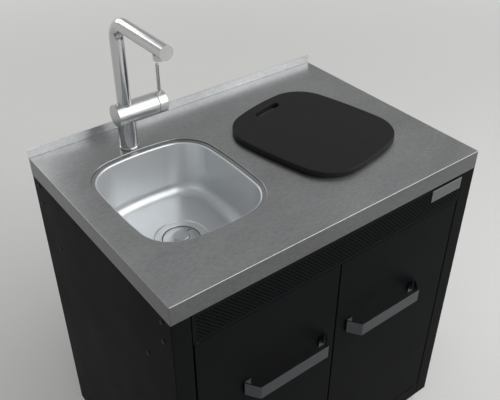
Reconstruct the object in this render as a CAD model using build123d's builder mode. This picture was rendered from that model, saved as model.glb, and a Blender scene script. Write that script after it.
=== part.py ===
from build123d import *
import os
from math import asin, atan2, cos, degrees, radians, sin, tan

# Outdoor sink unit: a folded stainless worktop with an inset bowl, a side-lever mixer tap and a
# loose chopping board, on a powder-coated steel cabinet with two hinged doors.
# Millimetres. X runs left to right, Y front to rear, Z up. The origin lies on the floor, in the
# middle of the footprint, handles included.

# Overall sizes
worktop_width = 840.0
worktop_depth = 600.0
worktop_height = 900.0
ground_clearance = 60.0

# Sheet thicknesses and the outside radius of an ordinary fold
worktop_sheet = 1.5
bowl_sheet = 1.0
cabinet_sheet = 1.5
rail_sheet = 2.0
sheet_fold = 2.5
top_fold = 1.0

# Worktop
apron_height = 45.0
apron_lip = 18.0
worktop_fold = 1.8
worktop_top_fold = 1.4
upstand_height = 22.0
stiffener_height = 18.0
stiffener_width = 30.0
stiffener_foot = 15.0
stiffener_setback = 26.0
stiffener_spacing = 200.0
stiffener_from_right = 110.0

# Bowl opening and its pressed rim
bowl_from_left = 211.0
bowl_from_rear = 297.0
rim_half_width = 158.0
rim_half_depth = 181.0
rim_corner = 95.0
rim_side_swell = 3.0
rim_end_swell = 4.0
rim_step = 3.0
rim_crest = 2.2
rim_ledge = 10.0

# Bowl
bowl_depth = 142.0
bowl_mouth_setback = 0.5
bowl_mouth_radius = 4.0
bowl_draft = 3.0
bowl_floor_radius = 28.0
bowl_flange_margin = 1.5
bowl_plain_floor = 60.0
clip_width = 24.0
clip_sheet = 2.0
clip_bolt_inset = -8.0
clip_heel = 8.0
clip_toe = 12.0
clip_side_spread = 55.0
clip_end_spread = 62.0
clip_bolt_radius = 2.5
clip_bolt_length = 16.0
clip_nut_radius = 4.6
clip_nut_height = 4.0

# Drain and strainer
drain_recess_radius = 62.3
drain_recess_slope = 2.0
drain_recess_depth = 3.0
drain_hole_margin = 0.5
drain_flange_radius = 57.5
drain_sheet = 1.0
drain_cup_radius = 45.0
drain_cup_depth = 40.0
drain_outlet_radius = 23.9
drain_outlet_bore = 20.9
drain_outlet_length = 30.0
drain_seal_thickness = 2.0
drain_nut_height = 10.0
drain_nut_wall = 9.0
drain_nut_notch = 8.0
basket_clearance = 2.0
basket_sheet = 1.0
basket_skirt = 7.0
basket_rise = 5.5
basket_slots = 2
basket_slot_angle = 21.0
basket_slot_width = 2.5
basket_slot_inner = 23.0
basket_slot_outer = 36.0
knob_radius = 20.0
knob_crown = 3.0
knob_height = 4.2
knob_stem_radius = 4.0
knob_collar_radius = 8.0
knob_collar = 2.0
plug_radius = 26.0
plug_thickness = 4.0

# Trap
trap_pipe_radius = 20.0
trap_pipe_wall = 1.6
trap_flange_radius = 23.4
trap_flange = 2.5
trap_nut_wall = 6.0
trap_nut_lip = 4.0
trap_nut_grip = 12.0
trap_neck_radius = 26.0
trap_neck_height = 18.0
trap_bottle_radius = 36.0
trap_bottle_wall = 2.5
trap_bottle_top = 600.0
trap_bottle_height = 85.0
trap_cup_wall = 4.0
trap_cup_height = 44.0
trap_cup_overlap = 18.0
trap_outlet_drop = 23.0
trap_stub_radius = 24.0
trap_stub_length = 16.0
trap_outlet_length = 150.0
trap_stop_height = 2.0
trap_stop_width = 3.0
trap_stop_gap = 1.0
trap_tail_immersion = 52.0
thread_fit = 0.05

# Tap
tap_from_left = 208.0
tap_behind_bowl = 204.5
tap_hole_margin = 1.0
tap_gasket_thickness = 1.0
tap_base_radius = 22.5
tap_base_height = 4.0
column_radius = 21.0
mixer_axis_height = 88.0
mixer_radius = 25.5
mixer_left_reach = 26.5
mixer_seam = 77.5
mixer_right_reach = 100.5
mixer_cap_radius = 22.0
mixer_cap_thickness = 2.5
mixer_boss_height = 27.0
mixer_waterway = 6.0
seam_gap = 0.8
edge_break = 0.6
cartridge_radius = 20.0
cartridge_length = 34.0
cartridge_neck = 17.0
cartridge_nut_radius = 23.0
cartridge_nut_length = 6.0
disc_radius = 18.0
disc_gap = 0.3
disc_thickness = 4.0
disc_journal_radius = 6.0
disc_journal_length = 6.0
disc_stub_radius = 3.0
disc_stub_length = 8.0
lever_cap_wall = 3.0
lever_rod_radius = 4.0
lever_rod_from_end = 9.5
lever_rod_top = 183.0
lever_rod_engagement = 4.0
lever_screw_radius = 2.9
lever_screw_length = 2.0
lever_screw_recess = 1.2
lever_screw_from_seam = 5.0
lever_screw_angle = 40.0
spout_radius = 15.5
spout_wall = 1.5
spout_height = 306.0
spout_reach = 205.0
spout_bend = 40.0
spout_shoulder = 3.0
spigot_radius = 12.0
spigot_length = 22.0
spout_cap_thickness = 2.0
aerator_radius = 12.0
aerator_from_end = 29.5
aerator_stand = 8.0
aerator_seat = 4.0
aerator_wall = 2.5
aerator_screen = 1.5
aerator_recess = 1.5
aerator_hole_radius = 0.9
aerator_hole_pitch = 2.8
shank_radius = 16.5
shank_length = 54.0
shank_engagement = 20.0
shank_waterway = 3.5
inlet_radius = 4.5
inlet_depth = 12.0
inlet_spacing = 14.0
tap_nut_radius = 21.0
tap_nut_height = 12.0
slip_fit = 0.05

# Chopping board
board_margin = 3.2
board_thickness = 14.0
board_from_left = 588.0
board_from_front = 293.0
board_angle = 12.2
board_edge = 3.0
board_slot_length = 84.0
board_slot_width = 20.0
board_slot_offset = 142.0
board_slot_edge = 2.0

# Cabinet
post_width = 43.0
post_return = 16.0
side_flange = 20.0
side_foot_flange = 25.0
panel_gap = 2.0
vent_gap = 1.0
panel_slip = 0.2
vent_top_flange = 34.0
vent_bottom_flange = 36.0
vent_end_flange = 12.0
vent_drop = 1.0
badge_width = 100.0
badge_height = 31.0
badge_thickness = 1.5
badge_drop = 52.5
badge_inset = 2.5
rail_setback = 18.0
rail_flange = 30.0
rail_web = 26.0
rail_tab_height = 70.0
brace_height = 30.0
brace_leg = 20.0
brace_drop = 205.5
brace_overhang = 16.0
floor_height = 110.5
floor_setback = 22.0
floor_flange = 25.0
plinth_flange = 40.0
plinth_foot_flange = 17.0
service_width = 200.0
service_height = 90.0

# Doors and their pivots
door_drop = 124.5
door_gap = 3.5
door_centre_gap = 4.0
door_depth = 18.0
door_lip = 12.0
door_sill = 1.5
door_corner = 1.0
pivot_inset = 8.0
pivot_setback = 7.0
pin_radius = 3.0
pin_reach = 7.0
pin_clearance = 0.05
pin_collar_radius = 5.2
pin_collar = 1.5
bush_radius = 5.0
bush_length = 9.5
bush_flange_radius = 6.5
bush_flange = 1.2
hinge_plate = 2.0
hinge_plate_width = 22.0
hinge_plate_depth = 32.0
magnet_width = 38.0
magnet_depth = 14.0
magnet_height = 13.0
magnet_gap = 0.5
magnet_from_centre = 26.0

# Handles
handle_reach = 36.0
handle_height = 36.0
handle_length = 239.6
handle_front_length = 190.0
handle_tab = 23.0
handle_strip = 3.0
handle_fold = 4.5
handle_screw_from_corner = 15.4
handle_from_centre = 147.2
handle_drop = 309.0

# Fasteners
screw_radius = 2.5
screw_head_radius = 4.6
screw_head_height = 2.2
screw_length = 12.0
screw_fit = 0.1
handle_screw_radius = 2.0
handle_screw_head = 3.8
handle_screw_head_height = 1.8
handle_nut_radius = 4.0
handle_nut_height = 3.0
handle_screw_length = 9.0
side_screw_inset = 32.0
side_screw_drops = (60.0, 111.0)
brace_screw_front = 103.0
brace_screw_rear = 505.5
floor_screw_inset = 60.0
floor_screw_drop = 13.0
rear_screw_radius = 2.0
rear_screw_head = 3.6
rear_screw_length = 8.0
rear_screw_count = 4
rear_screw_spacing = 220.0
rear_screw_first = 130.0
top_screw_inset = 10.0
top_screw_spacing = 180.0

# Feet
foot_inset_side = 35.0
foot_inset_end = 53.0
foot_plate = 66.0
foot_plate_thickness = 3.0
foot_boss_radius = 10.0
foot_boss_height = 10.0
foot_stud_radius = 5.0
foot_stud_top = 88.0
foot_nut_radius = 8.0
foot_nut_height = 8.0
foot_pad_radius = 24.0
foot_pad_rim = 4.0
foot_pad_height = 12.0
foot_neck_radius = 9.0

# Levels and places worked out from the sizes above
left = -worktop_width / 2
right = worktop_width / 2
front = (handle_reach - worktop_depth) / 2
rear = front + worktop_depth
middle = (front + rear) / 2
cabinet_top = worktop_height - apron_height
bowl_x = left + bowl_from_left
bowl_y = rear - bowl_from_rear
ledge_level = worktop_height - rim_step
flange_level = ledge_level - worktop_sheet
underside = worktop_height - worktop_sheet
bowl_floor = worktop_height - bowl_depth
drain_seat = bowl_floor - drain_recess_depth
drain_bottom = drain_seat - drain_cup_depth
outlet_end = drain_bottom - drain_outlet_length
mouth_inset = rim_ledge + bowl_mouth_setback + bowl_mouth_radius
tap_x = left + tap_from_left
tap_y = bowl_y + tap_behind_bowl
tap_hole_radius = shank_radius + tap_hole_margin
base_level = worktop_height + tap_gasket_thickness
mixer_level = worktop_height + mixer_axis_height
boss_top = mixer_level + mixer_boss_height
seam_x = tap_x + mixer_seam
lever_end_x = tap_x + mixer_right_reach
spout_level = worktop_height + spout_height
spout_end = tap_y - spout_reach
post_edge = right - post_width
vent_edge = post_edge - vent_gap
vent_top = cabinet_top - vent_drop
door_top = worktop_height - door_drop
vent_bottom = door_top + panel_gap
door_bottom = floor_height + door_sill
door_edge = post_edge - door_gap
pivot_x = door_edge - pivot_inset
pivot_y = front + pivot_setback
plinth_top = floor_height - cabinet_sheet
side_inner = right - cabinet_sheet
rail_top = vent_top - cabinet_sheet
back_y = rear - cabinet_sheet
sides = ((-1, "left"), (1, "right"))

os.makedirs("parts", exist_ok=True)


def save(part, name):
    """Label a finished sub-part and write its file."""
    part.label = name
    export_step(part, f"parts/{name}.step")


def swollen_arcs(half_x, half_y, corner, swell_x, swell_y):
    """Eight tangent arcs (centre, radius, start, arc) of a round-cornered, outward-bowed shape."""
    corner_x = half_x - corner - swell_x
    corner_y = half_y - corner - swell_y
    side = ((corner + swell_x) ** 2 + corner_y**2 - corner**2) / (2 * swell_x)
    end = ((corner + swell_y) ** 2 + corner_x**2 - corner**2) / (2 * swell_y)
    low = degrees(atan2(corner_y, corner_x - half_x + side))
    high = degrees(atan2(corner_y - half_y + end, corner_x))
    return (
        ((half_x - side, 0), side, -low, 2 * low),
        ((corner_x, corner_y), corner, low, high - low),
        ((0, half_y - end), end, high, 180 - 2 * high),
        ((-corner_x, corner_y), corner, 180 - high, high - low),
        ((side - half_x, 0), side, 180 - low, 2 * low),
        ((-corner_x, -corner_y), corner, 180 + low, high - low),
        ((0, end - half_y), end, 180 + high, 180 - 2 * high),
        ((corner_x, -corner_y), corner, 360 - high, high - low),
    )


rim_arcs = swollen_arcs(rim_half_width, rim_half_depth, rim_corner, rim_side_swell, rim_end_swell)


def rim_shape(inset):
    """Outline of the bowl's rim, moved inward by inset, centred on the origin."""
    with BuildSketch() as shape:
        with BuildLine():
            for centre, radius, start, arc in rim_arcs:
                CenterArc(centre, radius - inset, start, arc)
        make_face()
    return shape.sketch


def folded(points, thickness, radii):
    """Section of folded sheet: a line with rounded corners, thickened to its left."""
    with BuildSketch() as section:
        with BuildLine() as path:
            Polyline(*points)
            for point, radius in zip(points[1:-1], radii):
                fillet(path.vertices().sort_by_distance(point)[0], radius)
            offset(amount=thickness, side=Side.LEFT)
        make_face()
    return section.sketch


def turned(*points):
    """Solid of revolution about Z from the (radius, height) corners of its half section."""
    with BuildPart() as piece:
        with BuildSketch(Plane.XZ):
            with BuildLine():
                Polyline(*points, close=True)
            make_face()
        revolve(axis=Axis.Z)
    return piece.part


def pan_screw(radius, head_radius, head_height, length):
    """Pan-head screw along Z, the underside of its head at the origin and the head above it."""
    bevel = head_height / 3
    return turned(
        (0, -length),
        (radius, -length),
        (radius, 0),
        (head_radius, 0),
        (head_radius, head_height - bevel),
        (head_radius - bevel, head_height),
        (0, head_height),
    )


def upright(y):
    """Vertical plane facing the front at depth y: its X is the object's X, its Y is height."""
    return Plane.XZ.offset(-y)


# Places of the screws in the side panels (depth, height), the same on both sides
brace_level = worktop_height - brace_drop
side_screw_places = []
for y in (front + side_screw_inset, rear - side_screw_inset):
    for drop in side_screw_drops:
        side_screw_places.append((y, worktop_height - drop))
side_screw_places.append((front + brace_screw_front, brace_level))
side_screw_places.append((front + brace_screw_rear, brace_level))
for y in (front + floor_screw_inset, rear - floor_screw_inset):
    side_screw_places.append((y, floor_height - floor_screw_drop))
top_screw_x = right - top_screw_inset
top_screw_ys = [middle + step * top_screw_spacing for step in (-1, 0, 1)]
rear_screw_x = right - side_flange / 2
rear_screw_zs = [rear_screw_first + step * rear_screw_spacing for step in range(rear_screw_count)]

# Worktop: one folded and welded stainless sheet with aprons, an upstand and a pressed bowl rim
with BuildPart() as worktop:
    with BuildSketch(Plane.XY.offset(cabinet_top)):
        with Locations((0, middle)):
            Rectangle(worktop_width, worktop_depth)
    extrude(amount=apron_height)
    fillet(worktop.edges().filter_by(Axis.Z).group_by(Axis.Y)[0], worktop_fold)
    fillet(worktop.faces().sort_by(Axis.Z)[-1].edges().sort_by(Axis.Y)[:-1], worktop_top_fold)
    with BuildSketch(Plane.XY.offset(cabinet_top)):
        with Locations((0, middle)):
            Rectangle(worktop_width - 2 * worktop_sheet, worktop_depth - 2 * worktop_sheet)
    extrude(amount=apron_height - worktop_sheet, mode=Mode.SUBTRACT)
    with BuildSketch(Plane.XY.offset(cabinet_top)):
        with Locations((0, middle)):
            Rectangle(worktop_width - 2 * worktop_sheet, worktop_depth - 2 * worktop_sheet)
            Rectangle(worktop_width - 2 * apron_lip, worktop_depth - 2 * apron_lip, mode=Mode.SUBTRACT)
    extrude(amount=worktop_sheet)
    with BuildSketch(Plane.XY.offset(underside)):
        with Locations((0, rear - worktop_sheet / 2)):
            Rectangle(worktop_width, worktop_sheet)
    extrude(amount=worktop_sheet + upstand_height)
    with BuildSketch(Plane.XY.offset(worktop_height)):
        with Locations((bowl_x, bowl_y)):
            add(rim_shape(rim_crest))
    extrude(amount=-worktop_sheet, mode=Mode.SUBTRACT)
    with BuildSketch(Plane.XY.offset(worktop_height)):
        with Locations((bowl_x, bowl_y)):
            add(rim_shape(rim_crest - worktop_sheet))
            add(rim_shape(rim_crest), mode=Mode.SUBTRACT)
    extrude(amount=-(rim_step + worktop_sheet))
    with BuildSketch(Plane.XY.offset(ledge_level)):
        with Locations((bowl_x, bowl_y)):
            add(rim_shape(rim_crest - worktop_sheet))
            add(rim_shape(rim_ledge), mode=Mode.SUBTRACT)
    extrude(amount=-worktop_sheet)
    crest = worktop.edges().filter_by(GeomType.CIRCLE)
    fillet(crest.filter_by_position(Axis.Z, worktop_height - 0.01, worktop_height + 0.01), rim_crest)
    with Locations((tap_x, tap_y, worktop_height)):
        Hole(tap_hole_radius, depth=2 * worktop_sheet)
    with Locations([(side * top_screw_x, y, cabinet_top) for side, word in sides for y in top_screw_ys]):
        Cylinder(screw_radius + screw_fit, 4 * worktop_sheet, mode=Mode.SUBTRACT)
save(worktop.part, "worktop")

# Hat-section stiffeners bonded under the free half of the worktop
hat_places = [(right - stiffener_from_right - step * stiffener_spacing, underside) for step in (0, 1)]
with BuildPart() as worktop_stiffeners:
    with BuildSketch(upright(front + stiffener_setback)):
        with Locations(hat_places):
            Rectangle(
                stiffener_width + 2 * stiffener_foot, worktop_sheet, align=(Align.CENTER, Align.MAX)
            )
            Rectangle(stiffener_width, stiffener_height, align=(Align.CENTER, Align.MAX))
            Rectangle(
                stiffener_width - 2 * worktop_sheet,
                stiffener_height - worktop_sheet,
                align=(Align.CENTER, Align.MAX),
                mode=Mode.SUBTRACT,
            )
    extrude(amount=2 * stiffener_setback - worktop_depth)
save(worktop_stiffeners.part, "worktop_stiffeners")

# Bowl: deep-drawn sheet with a flange under the worktop's ledge and a sunken seat for the drain
with BuildPart() as bowl:
    for centre, radius, start, arc in rim_arcs:
        section_plane = Plane(
            origin=(bowl_x + centre[0], bowl_y + centre[1], 0),
            x_dir=(cos(radians(start)), sin(radians(start)), 0),
            z_dir=(sin(radians(start)), -cos(radians(start)), 0),
        )
        with BuildSketch(section_plane):
            add(
                folded(
                    [
                        (radius + bowl_flange_margin, flange_level),
                        (radius - mouth_inset, flange_level),
                        (radius - mouth_inset - bowl_draft, bowl_floor),
                        (radius - bowl_plain_floor, bowl_floor),
                    ],
                    bowl_sheet,
                    (bowl_mouth_radius, bowl_floor_radius),
                )
            )
        revolve(axis=Axis(section_plane.origin, (0, 0, 1)), revolution_arc=arc)
    with BuildSketch(Plane.XY.offset(bowl_floor)):
        with Locations((bowl_x, bowl_y)):
            add(rim_shape(bowl_plain_floor))
            Circle(drain_recess_radius + bowl_sheet, mode=Mode.SUBTRACT)
    extrude(amount=-bowl_sheet)
    bend_shift = bowl_sheet * tan(atan2(drain_recess_depth, drain_recess_slope) / 2)
    with Locations((bowl_x, bowl_y, 0)):
        add(
            turned(
                (drain_recess_radius + bowl_sheet, bowl_floor),
                (drain_recess_radius, bowl_floor),
                (drain_recess_radius - drain_recess_slope, drain_seat),
                (drain_cup_radius + drain_hole_margin, drain_seat),
                (drain_cup_radius + drain_hole_margin, drain_seat - bowl_sheet),
                (drain_recess_radius - drain_recess_slope + bend_shift, drain_seat - bowl_sheet),
                (drain_recess_radius + bend_shift, bowl_floor - bowl_sheet),
                (drain_recess_radius + bowl_sheet, bowl_floor - bowl_sheet),
            )
        )
save(bowl.part, "bowl")

# Clips that draw the bowl's flange up against the ledge, two on each side of the bowl
clip_level = flange_level - bowl_sheet
clip_places = []
for index, spread in enumerate((clip_side_spread, clip_end_spread, clip_side_spread, clip_end_spread)):
    centre, radius, start, arc = rim_arcs[2 * index]
    reach = radius - clip_bolt_inset
    for way in (-1, 1):
        turn = start + arc / 2 + way * degrees(asin(spread / reach))
        x = bowl_x + centre[0] + reach * cos(radians(turn))
        y = bowl_y + centre[1] + reach * sin(radians(turn))
        clip_places.append(Location((x, y, 0), (0, 0, turn)))


def bowl_clip():
    """One clip, bolt at its origin: a plate under the flange with a heel up to the worktop."""
    with BuildPart() as piece:
        with BuildSketch(Plane.XZ.offset(-clip_width / 2)):
            with BuildLine():
                Polyline(
                    (-clip_toe, clip_level),
                    (clip_heel, clip_level),
                    (clip_heel, underside),
                    (clip_heel + clip_sheet, underside),
                    (clip_heel + clip_sheet, clip_level - clip_sheet),
                    (-clip_toe, clip_level - clip_sheet),
                    close=True,
                )
            make_face()
        extrude(amount=clip_width)
        with Locations((0, 0, clip_level)):
            Hole(clip_bolt_radius + screw_fit, depth=2 * clip_sheet)
    return piece.part


with BuildPart() as bowl_clips:
    with Locations(clip_places):
        add(bowl_clip())
save(bowl_clips.part, "bowl_clips")


def clip_bolt():
    """One stud welded under the worktop, with the nut that tightens its clip."""
    with BuildPart() as piece:
        with Locations((0, 0, underside)):
            Cylinder(
                clip_bolt_radius, clip_bolt_length, align=(Align.CENTER, Align.CENTER, Align.MAX)
            )
        with BuildSketch(Plane.XY.offset(clip_level - clip_sheet)):
            RegularPolygon(clip_nut_radius, 6)
        extrude(amount=-clip_nut_height)
    return piece.part


with BuildPart() as bowl_clip_bolts:
    with Locations(clip_places):
        add(clip_bolt())
save(bowl_clip_bolts.part, "bowl_clip_bolts")

# Drain body: pressed flange and cup with a threaded outlet
cup_bore = drain_cup_radius - drain_sheet
cup_floor = drain_bottom + drain_sheet
with BuildPart() as drain_body:
    with Locations((bowl_x, bowl_y, 0)):
        add(
            turned(
                (drain_outlet_bore, outlet_end),
                (drain_outlet_radius, outlet_end),
                (drain_outlet_radius, drain_bottom),
                (drain_cup_radius, drain_bottom),
                (drain_cup_radius, drain_seat),
                (drain_flange_radius, drain_seat),
                (drain_flange_radius, drain_seat + drain_sheet / 2),
                (drain_flange_radius - drain_sheet, drain_seat + drain_sheet),
                (cup_bore + drain_sheet / 2, drain_seat + drain_sheet),
                (cup_bore, drain_seat + drain_sheet / 2),
                (cup_bore, cup_floor),
                (drain_outlet_bore, cup_floor),
            )
        )
save(drain_body.part, "drain_body")

# Rubber ring under the bowl
with BuildPart() as drain_seal:
    with BuildSketch(Plane.XY.offset(drain_seat - bowl_sheet)):
        with Locations((bowl_x, bowl_y)):
            Circle(drain_cup_radius + drain_nut_wall)
            Circle(drain_cup_radius + 2 * thread_fit, mode=Mode.SUBTRACT)
    extrude(amount=-drain_seal_thickness)
save(drain_seal.part, "drain_seal")

# Notched ring nut that clamps the drain
with BuildPart() as drain_locknut:
    with BuildSketch(Plane.XY.offset(drain_seat - bowl_sheet - drain_seal_thickness)):
        with Locations((bowl_x, bowl_y)):
            Circle(drain_cup_radius + drain_nut_wall)
            Circle(drain_cup_radius + thread_fit, mode=Mode.SUBTRACT)
            with PolarLocations(drain_cup_radius + drain_nut_wall, 8):
                Rectangle(drain_nut_wall / 2, drain_nut_notch, mode=Mode.SUBTRACT)
    extrude(amount=-drain_nut_height)
save(drain_locknut.part, "drain_locknut")

# Strainer: a domed cover with two slots, carried on a knob's stem that ends in a rubber plug
basket_edge = cup_bore - basket_clearance
basket_shoulder = drain_seat - drain_sheet / 2
basket_crown = basket_shoulder + basket_rise
with BuildPart() as basket:
    with BuildSketch(Plane.XZ.offset(-bowl_y)):
        with BuildLine():
            dome_top = (bowl_x + knob_radius, basket_crown)
            dome_edge = (bowl_x + basket_edge, basket_shoulder)
            under_top = (bowl_x + knob_radius, basket_crown - basket_sheet)
            under_edge = (bowl_x + basket_edge - basket_sheet, basket_shoulder - basket_sheet / 2)
            TangentArc(dome_top, dome_edge, tangent=(1, 0))
            Polyline(
                dome_edge,
                (bowl_x + basket_edge, basket_shoulder - basket_skirt),
                (bowl_x + basket_edge - basket_sheet, basket_shoulder - basket_skirt),
                under_edge,
            )
            TangentArc(under_top, under_edge, tangent=(1, 0))
            Polyline(
                under_top,
                (bowl_x + knob_stem_radius + slip_fit, basket_crown - basket_sheet),
                (bowl_x + knob_stem_radius + slip_fit, basket_crown),
                dome_top,
            )
        make_face()
    revolve(axis=Axis((bowl_x, bowl_y, 0), (0, 0, 1)))
    with BuildSketch(Plane.XY.offset(basket_crown)):
        with Locations((bowl_x, bowl_y)):
            slot_middle = (basket_slot_inner + basket_slot_outer) / 2
            with PolarLocations(slot_middle, basket_slots, start_angle=basket_slot_angle):
                SlotOverall(basket_slot_outer - basket_slot_inner, basket_slot_width)
    extrude(amount=-(basket_rise + basket_sheet), mode=Mode.SUBTRACT)
save(basket.part, "basket")

# Knob with its stem and a collar above the plug
plug_top = cup_floor + plug_thickness
with BuildPart() as basket_knob:
    with Locations((bowl_x, bowl_y, 0)):
        add(
            turned(
                (0, cup_floor + plug_thickness / 4),
                (knob_stem_radius, cup_floor + plug_thickness / 4),
                (knob_stem_radius, plug_top),
                (knob_collar_radius, plug_top),
                (knob_collar_radius, plug_top + knob_collar),
                (knob_stem_radius, plug_top + knob_collar),
                (knob_stem_radius, basket_crown),
                (knob_radius, basket_crown),
                (knob_radius, basket_crown + knob_height - knob_crown),
                (knob_radius - knob_crown / 3, basket_crown + knob_height - knob_crown / 3),
                (knob_radius - knob_crown, basket_crown + knob_height),
                (0, basket_crown + knob_height),
            )
        )
save(basket_knob.part, "basket_knob")

# Rubber plug that closes the cup's outlet
with BuildPart() as basket_plug:
    with BuildSketch(Plane.XY.offset(cup_floor)):
        with Locations((bowl_x, bowl_y)):
            Circle(plug_radius)
            Circle(knob_stem_radius + slip_fit, mode=Mode.SUBTRACT)
    extrude(amount=plug_thickness)
    chamfer(basket_plug.edges().group_by(Axis.Z)[-1].sort_by(SortBy.LENGTH)[-1], plug_thickness / 4)
save(basket_plug.part, "basket_plug")

# Trap: tailpiece hung from the drain, bottle with a side stub, screwed cup, outlet pipe and nuts
pipe_bore = trap_pipe_radius - trap_pipe_wall
flange_bottom = outlet_end - trap_flange
bottle_bottom = trap_bottle_top - trap_bottle_height
neck_top = trap_bottle_top + trap_neck_height
outlet_level = trap_bottle_top - trap_outlet_drop
stub_end = trap_bottle_radius + trap_stub_length
with BuildPart() as trap_tailpiece:
    with Locations((bowl_x, bowl_y, 0)):
        add(
            turned(
                (pipe_bore, trap_bottle_top - trap_tail_immersion),
                (trap_pipe_radius, trap_bottle_top - trap_tail_immersion),
                (trap_pipe_radius, flange_bottom),
                (trap_flange_radius, flange_bottom),
                (trap_flange_radius, outlet_end),
                (pipe_bore, outlet_end),
            )
        )
save(trap_tailpiece.part, "trap_tailpiece")

with BuildPart() as trap_body:
    with Locations((bowl_x, bowl_y, 0)):
        add(
            turned(
                (trap_bottle_radius - trap_bottle_wall, bottle_bottom),
                (trap_bottle_radius, bottle_bottom),
                (trap_bottle_radius, trap_bottle_top),
                (trap_neck_radius, trap_bottle_top),
                (trap_neck_radius, neck_top),
                (trap_pipe_radius + 4 * screw_fit, neck_top),
                (trap_pipe_radius + 4 * screw_fit, trap_bottle_top - trap_bottle_wall),
                (trap_bottle_radius - trap_bottle_wall, trap_bottle_top - trap_bottle_wall),
            )
        )
    with BuildSketch(upright(bowl_y + trap_bottle_radius - 2 * trap_bottle_wall)):
        with Locations((bowl_x, outlet_level)):
            Circle(trap_stub_radius)
    extrude(amount=-(trap_stub_length + 2 * trap_bottle_wall))
    with Locations((bowl_x, bowl_y, 0)):
        Cylinder(
            trap_bottle_radius - trap_bottle_wall,
            trap_bottle_top - trap_bottle_wall,
            align=(Align.CENTER, Align.CENTER, Align.MIN),
            mode=Mode.SUBTRACT,
        )
    with BuildSketch(upright(bowl_y + stub_end)):
        with Locations((bowl_x, outlet_level)):
            Circle(trap_pipe_radius + 4 * screw_fit)
    extrude(amount=trap_stub_length + 3 * trap_bottle_wall, mode=Mode.SUBTRACT)
save(trap_body.part, "trap_body")

cup_bottom = bottle_bottom + trap_cup_overlap - trap_cup_height
with BuildPart() as trap_cup:
    with Locations((bowl_x, bowl_y, 0)):
        add(
            turned(
                (0, cup_bottom),
                (trap_bottle_radius + thread_fit, cup_bottom),
                (trap_bottle_radius + trap_cup_wall, cup_bottom + trap_cup_wall),
                (trap_bottle_radius + trap_cup_wall, bottle_bottom + trap_cup_overlap),
                (trap_bottle_radius + thread_fit, bottle_bottom + trap_cup_overlap),
                (trap_bottle_radius + thread_fit, bottle_bottom - trap_flange),
                (trap_bottle_radius - trap_bottle_wall, cup_bottom + trap_cup_wall),
                (0, cup_bottom + trap_cup_wall),
            )
        )
save(trap_cup.part, "trap_cup")

# Outlet pipe with a stop ridge behind which the waste pipe ends
with BuildPart() as trap_outlet_pipe:
    with BuildSketch(upright(bowl_y + trap_bottle_radius)):
        with Locations((bowl_x, outlet_level)):
            Circle(trap_pipe_radius)
            Circle(pipe_bore, mode=Mode.SUBTRACT)
    extrude(amount=-trap_outlet_length)
    with BuildSketch(upright(bowl_y + stub_end + trap_nut_lip + trap_stop_gap)):
        with Locations((bowl_x, outlet_level)):
            Circle(trap_pipe_radius + trap_stop_height)
            Circle(trap_pipe_radius, mode=Mode.SUBTRACT)
    extrude(amount=-trap_stop_width)
save(trap_outlet_pipe.part, "trap_outlet_pipe")


def ring_nut(thread_radius):
    """Ribbed plastic nut along Z: a lip around the pipe below, a thread around the joint above."""
    with BuildPart() as piece:
        add(
            turned(
                (trap_pipe_radius + screw_fit, -trap_nut_lip),
                (thread_radius + trap_nut_wall, -trap_nut_lip),
                (thread_radius + trap_nut_wall, trap_nut_grip),
                (thread_radius + thread_fit, trap_nut_grip),
                (thread_radius + thread_fit, 0),
                (trap_pipe_radius + screw_fit, 0),
            )
        )
        with BuildSketch(Plane.XY.offset(-trap_nut_lip)):
            with PolarLocations(thread_radius + trap_nut_wall, 12):
                Circle(trap_nut_wall / 4, mode=Mode.ADD)
        extrude(amount=trap_nut_lip + trap_nut_grip, mode=Mode.SUBTRACT)
    return piece.part


with BuildPart() as trap_nuts:
    with Locations((bowl_x, bowl_y, flange_bottom)):
        add(ring_nut(drain_outlet_radius))
    with Locations(Location((bowl_x, bowl_y, neck_top), (180, 0, 0))):
        add(ring_nut(trap_neck_radius))
    with Locations(Location((bowl_x, bowl_y + stub_end, outlet_level), (90, 0, 0))):
        add(ring_nut(trap_stub_radius))
save(trap_nuts.part, "trap_nuts")

# Tap: gasket and base ring on the worktop, column, body, cartridge, lever, spout and shank
with BuildPart() as tap_gasket:
    with BuildSketch(Plane.XY.offset(worktop_height)):
        with Locations((tap_x, tap_y)):
            Circle(tap_base_radius - tap_gasket_thickness / 2)
            Circle(tap_hole_radius, mode=Mode.SUBTRACT)
    extrude(amount=tap_gasket_thickness)
save(tap_gasket.part, "tap_gasket")

with BuildPart() as tap_base_ring:
    with BuildSketch(Plane.XY.offset(base_level)):
        with Locations((tap_x, tap_y)):
            Circle(tap_base_radius)
            Circle(column_radius + slip_fit, mode=Mode.SUBTRACT)
    extrude(amount=tap_base_height)
    chamfer(tap_base_ring.edges().group_by(Axis.Z)[-1].sort_by(SortBy.LENGTH)[-1], edge_break)
save(tap_base_ring.part, "tap_base_ring")

with BuildPart() as tap_column:
    with BuildSketch(Plane.XY.offset(base_level)):
        with Locations((tap_x, tap_y)):
            Circle(column_radius)
            Circle(shank_radius + slip_fit, mode=Mode.SUBTRACT)
    extrude(amount=mixer_axis_height - tap_gasket_thickness)
    with Locations((tap_x, tap_y, mixer_level)):
        Cylinder(
            mixer_radius + slip_fit,
            4 * column_radius,
            rotation=(0, 90, 0),
            mode=Mode.SUBTRACT,
        )
save(tap_column.part, "tap_column")

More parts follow.
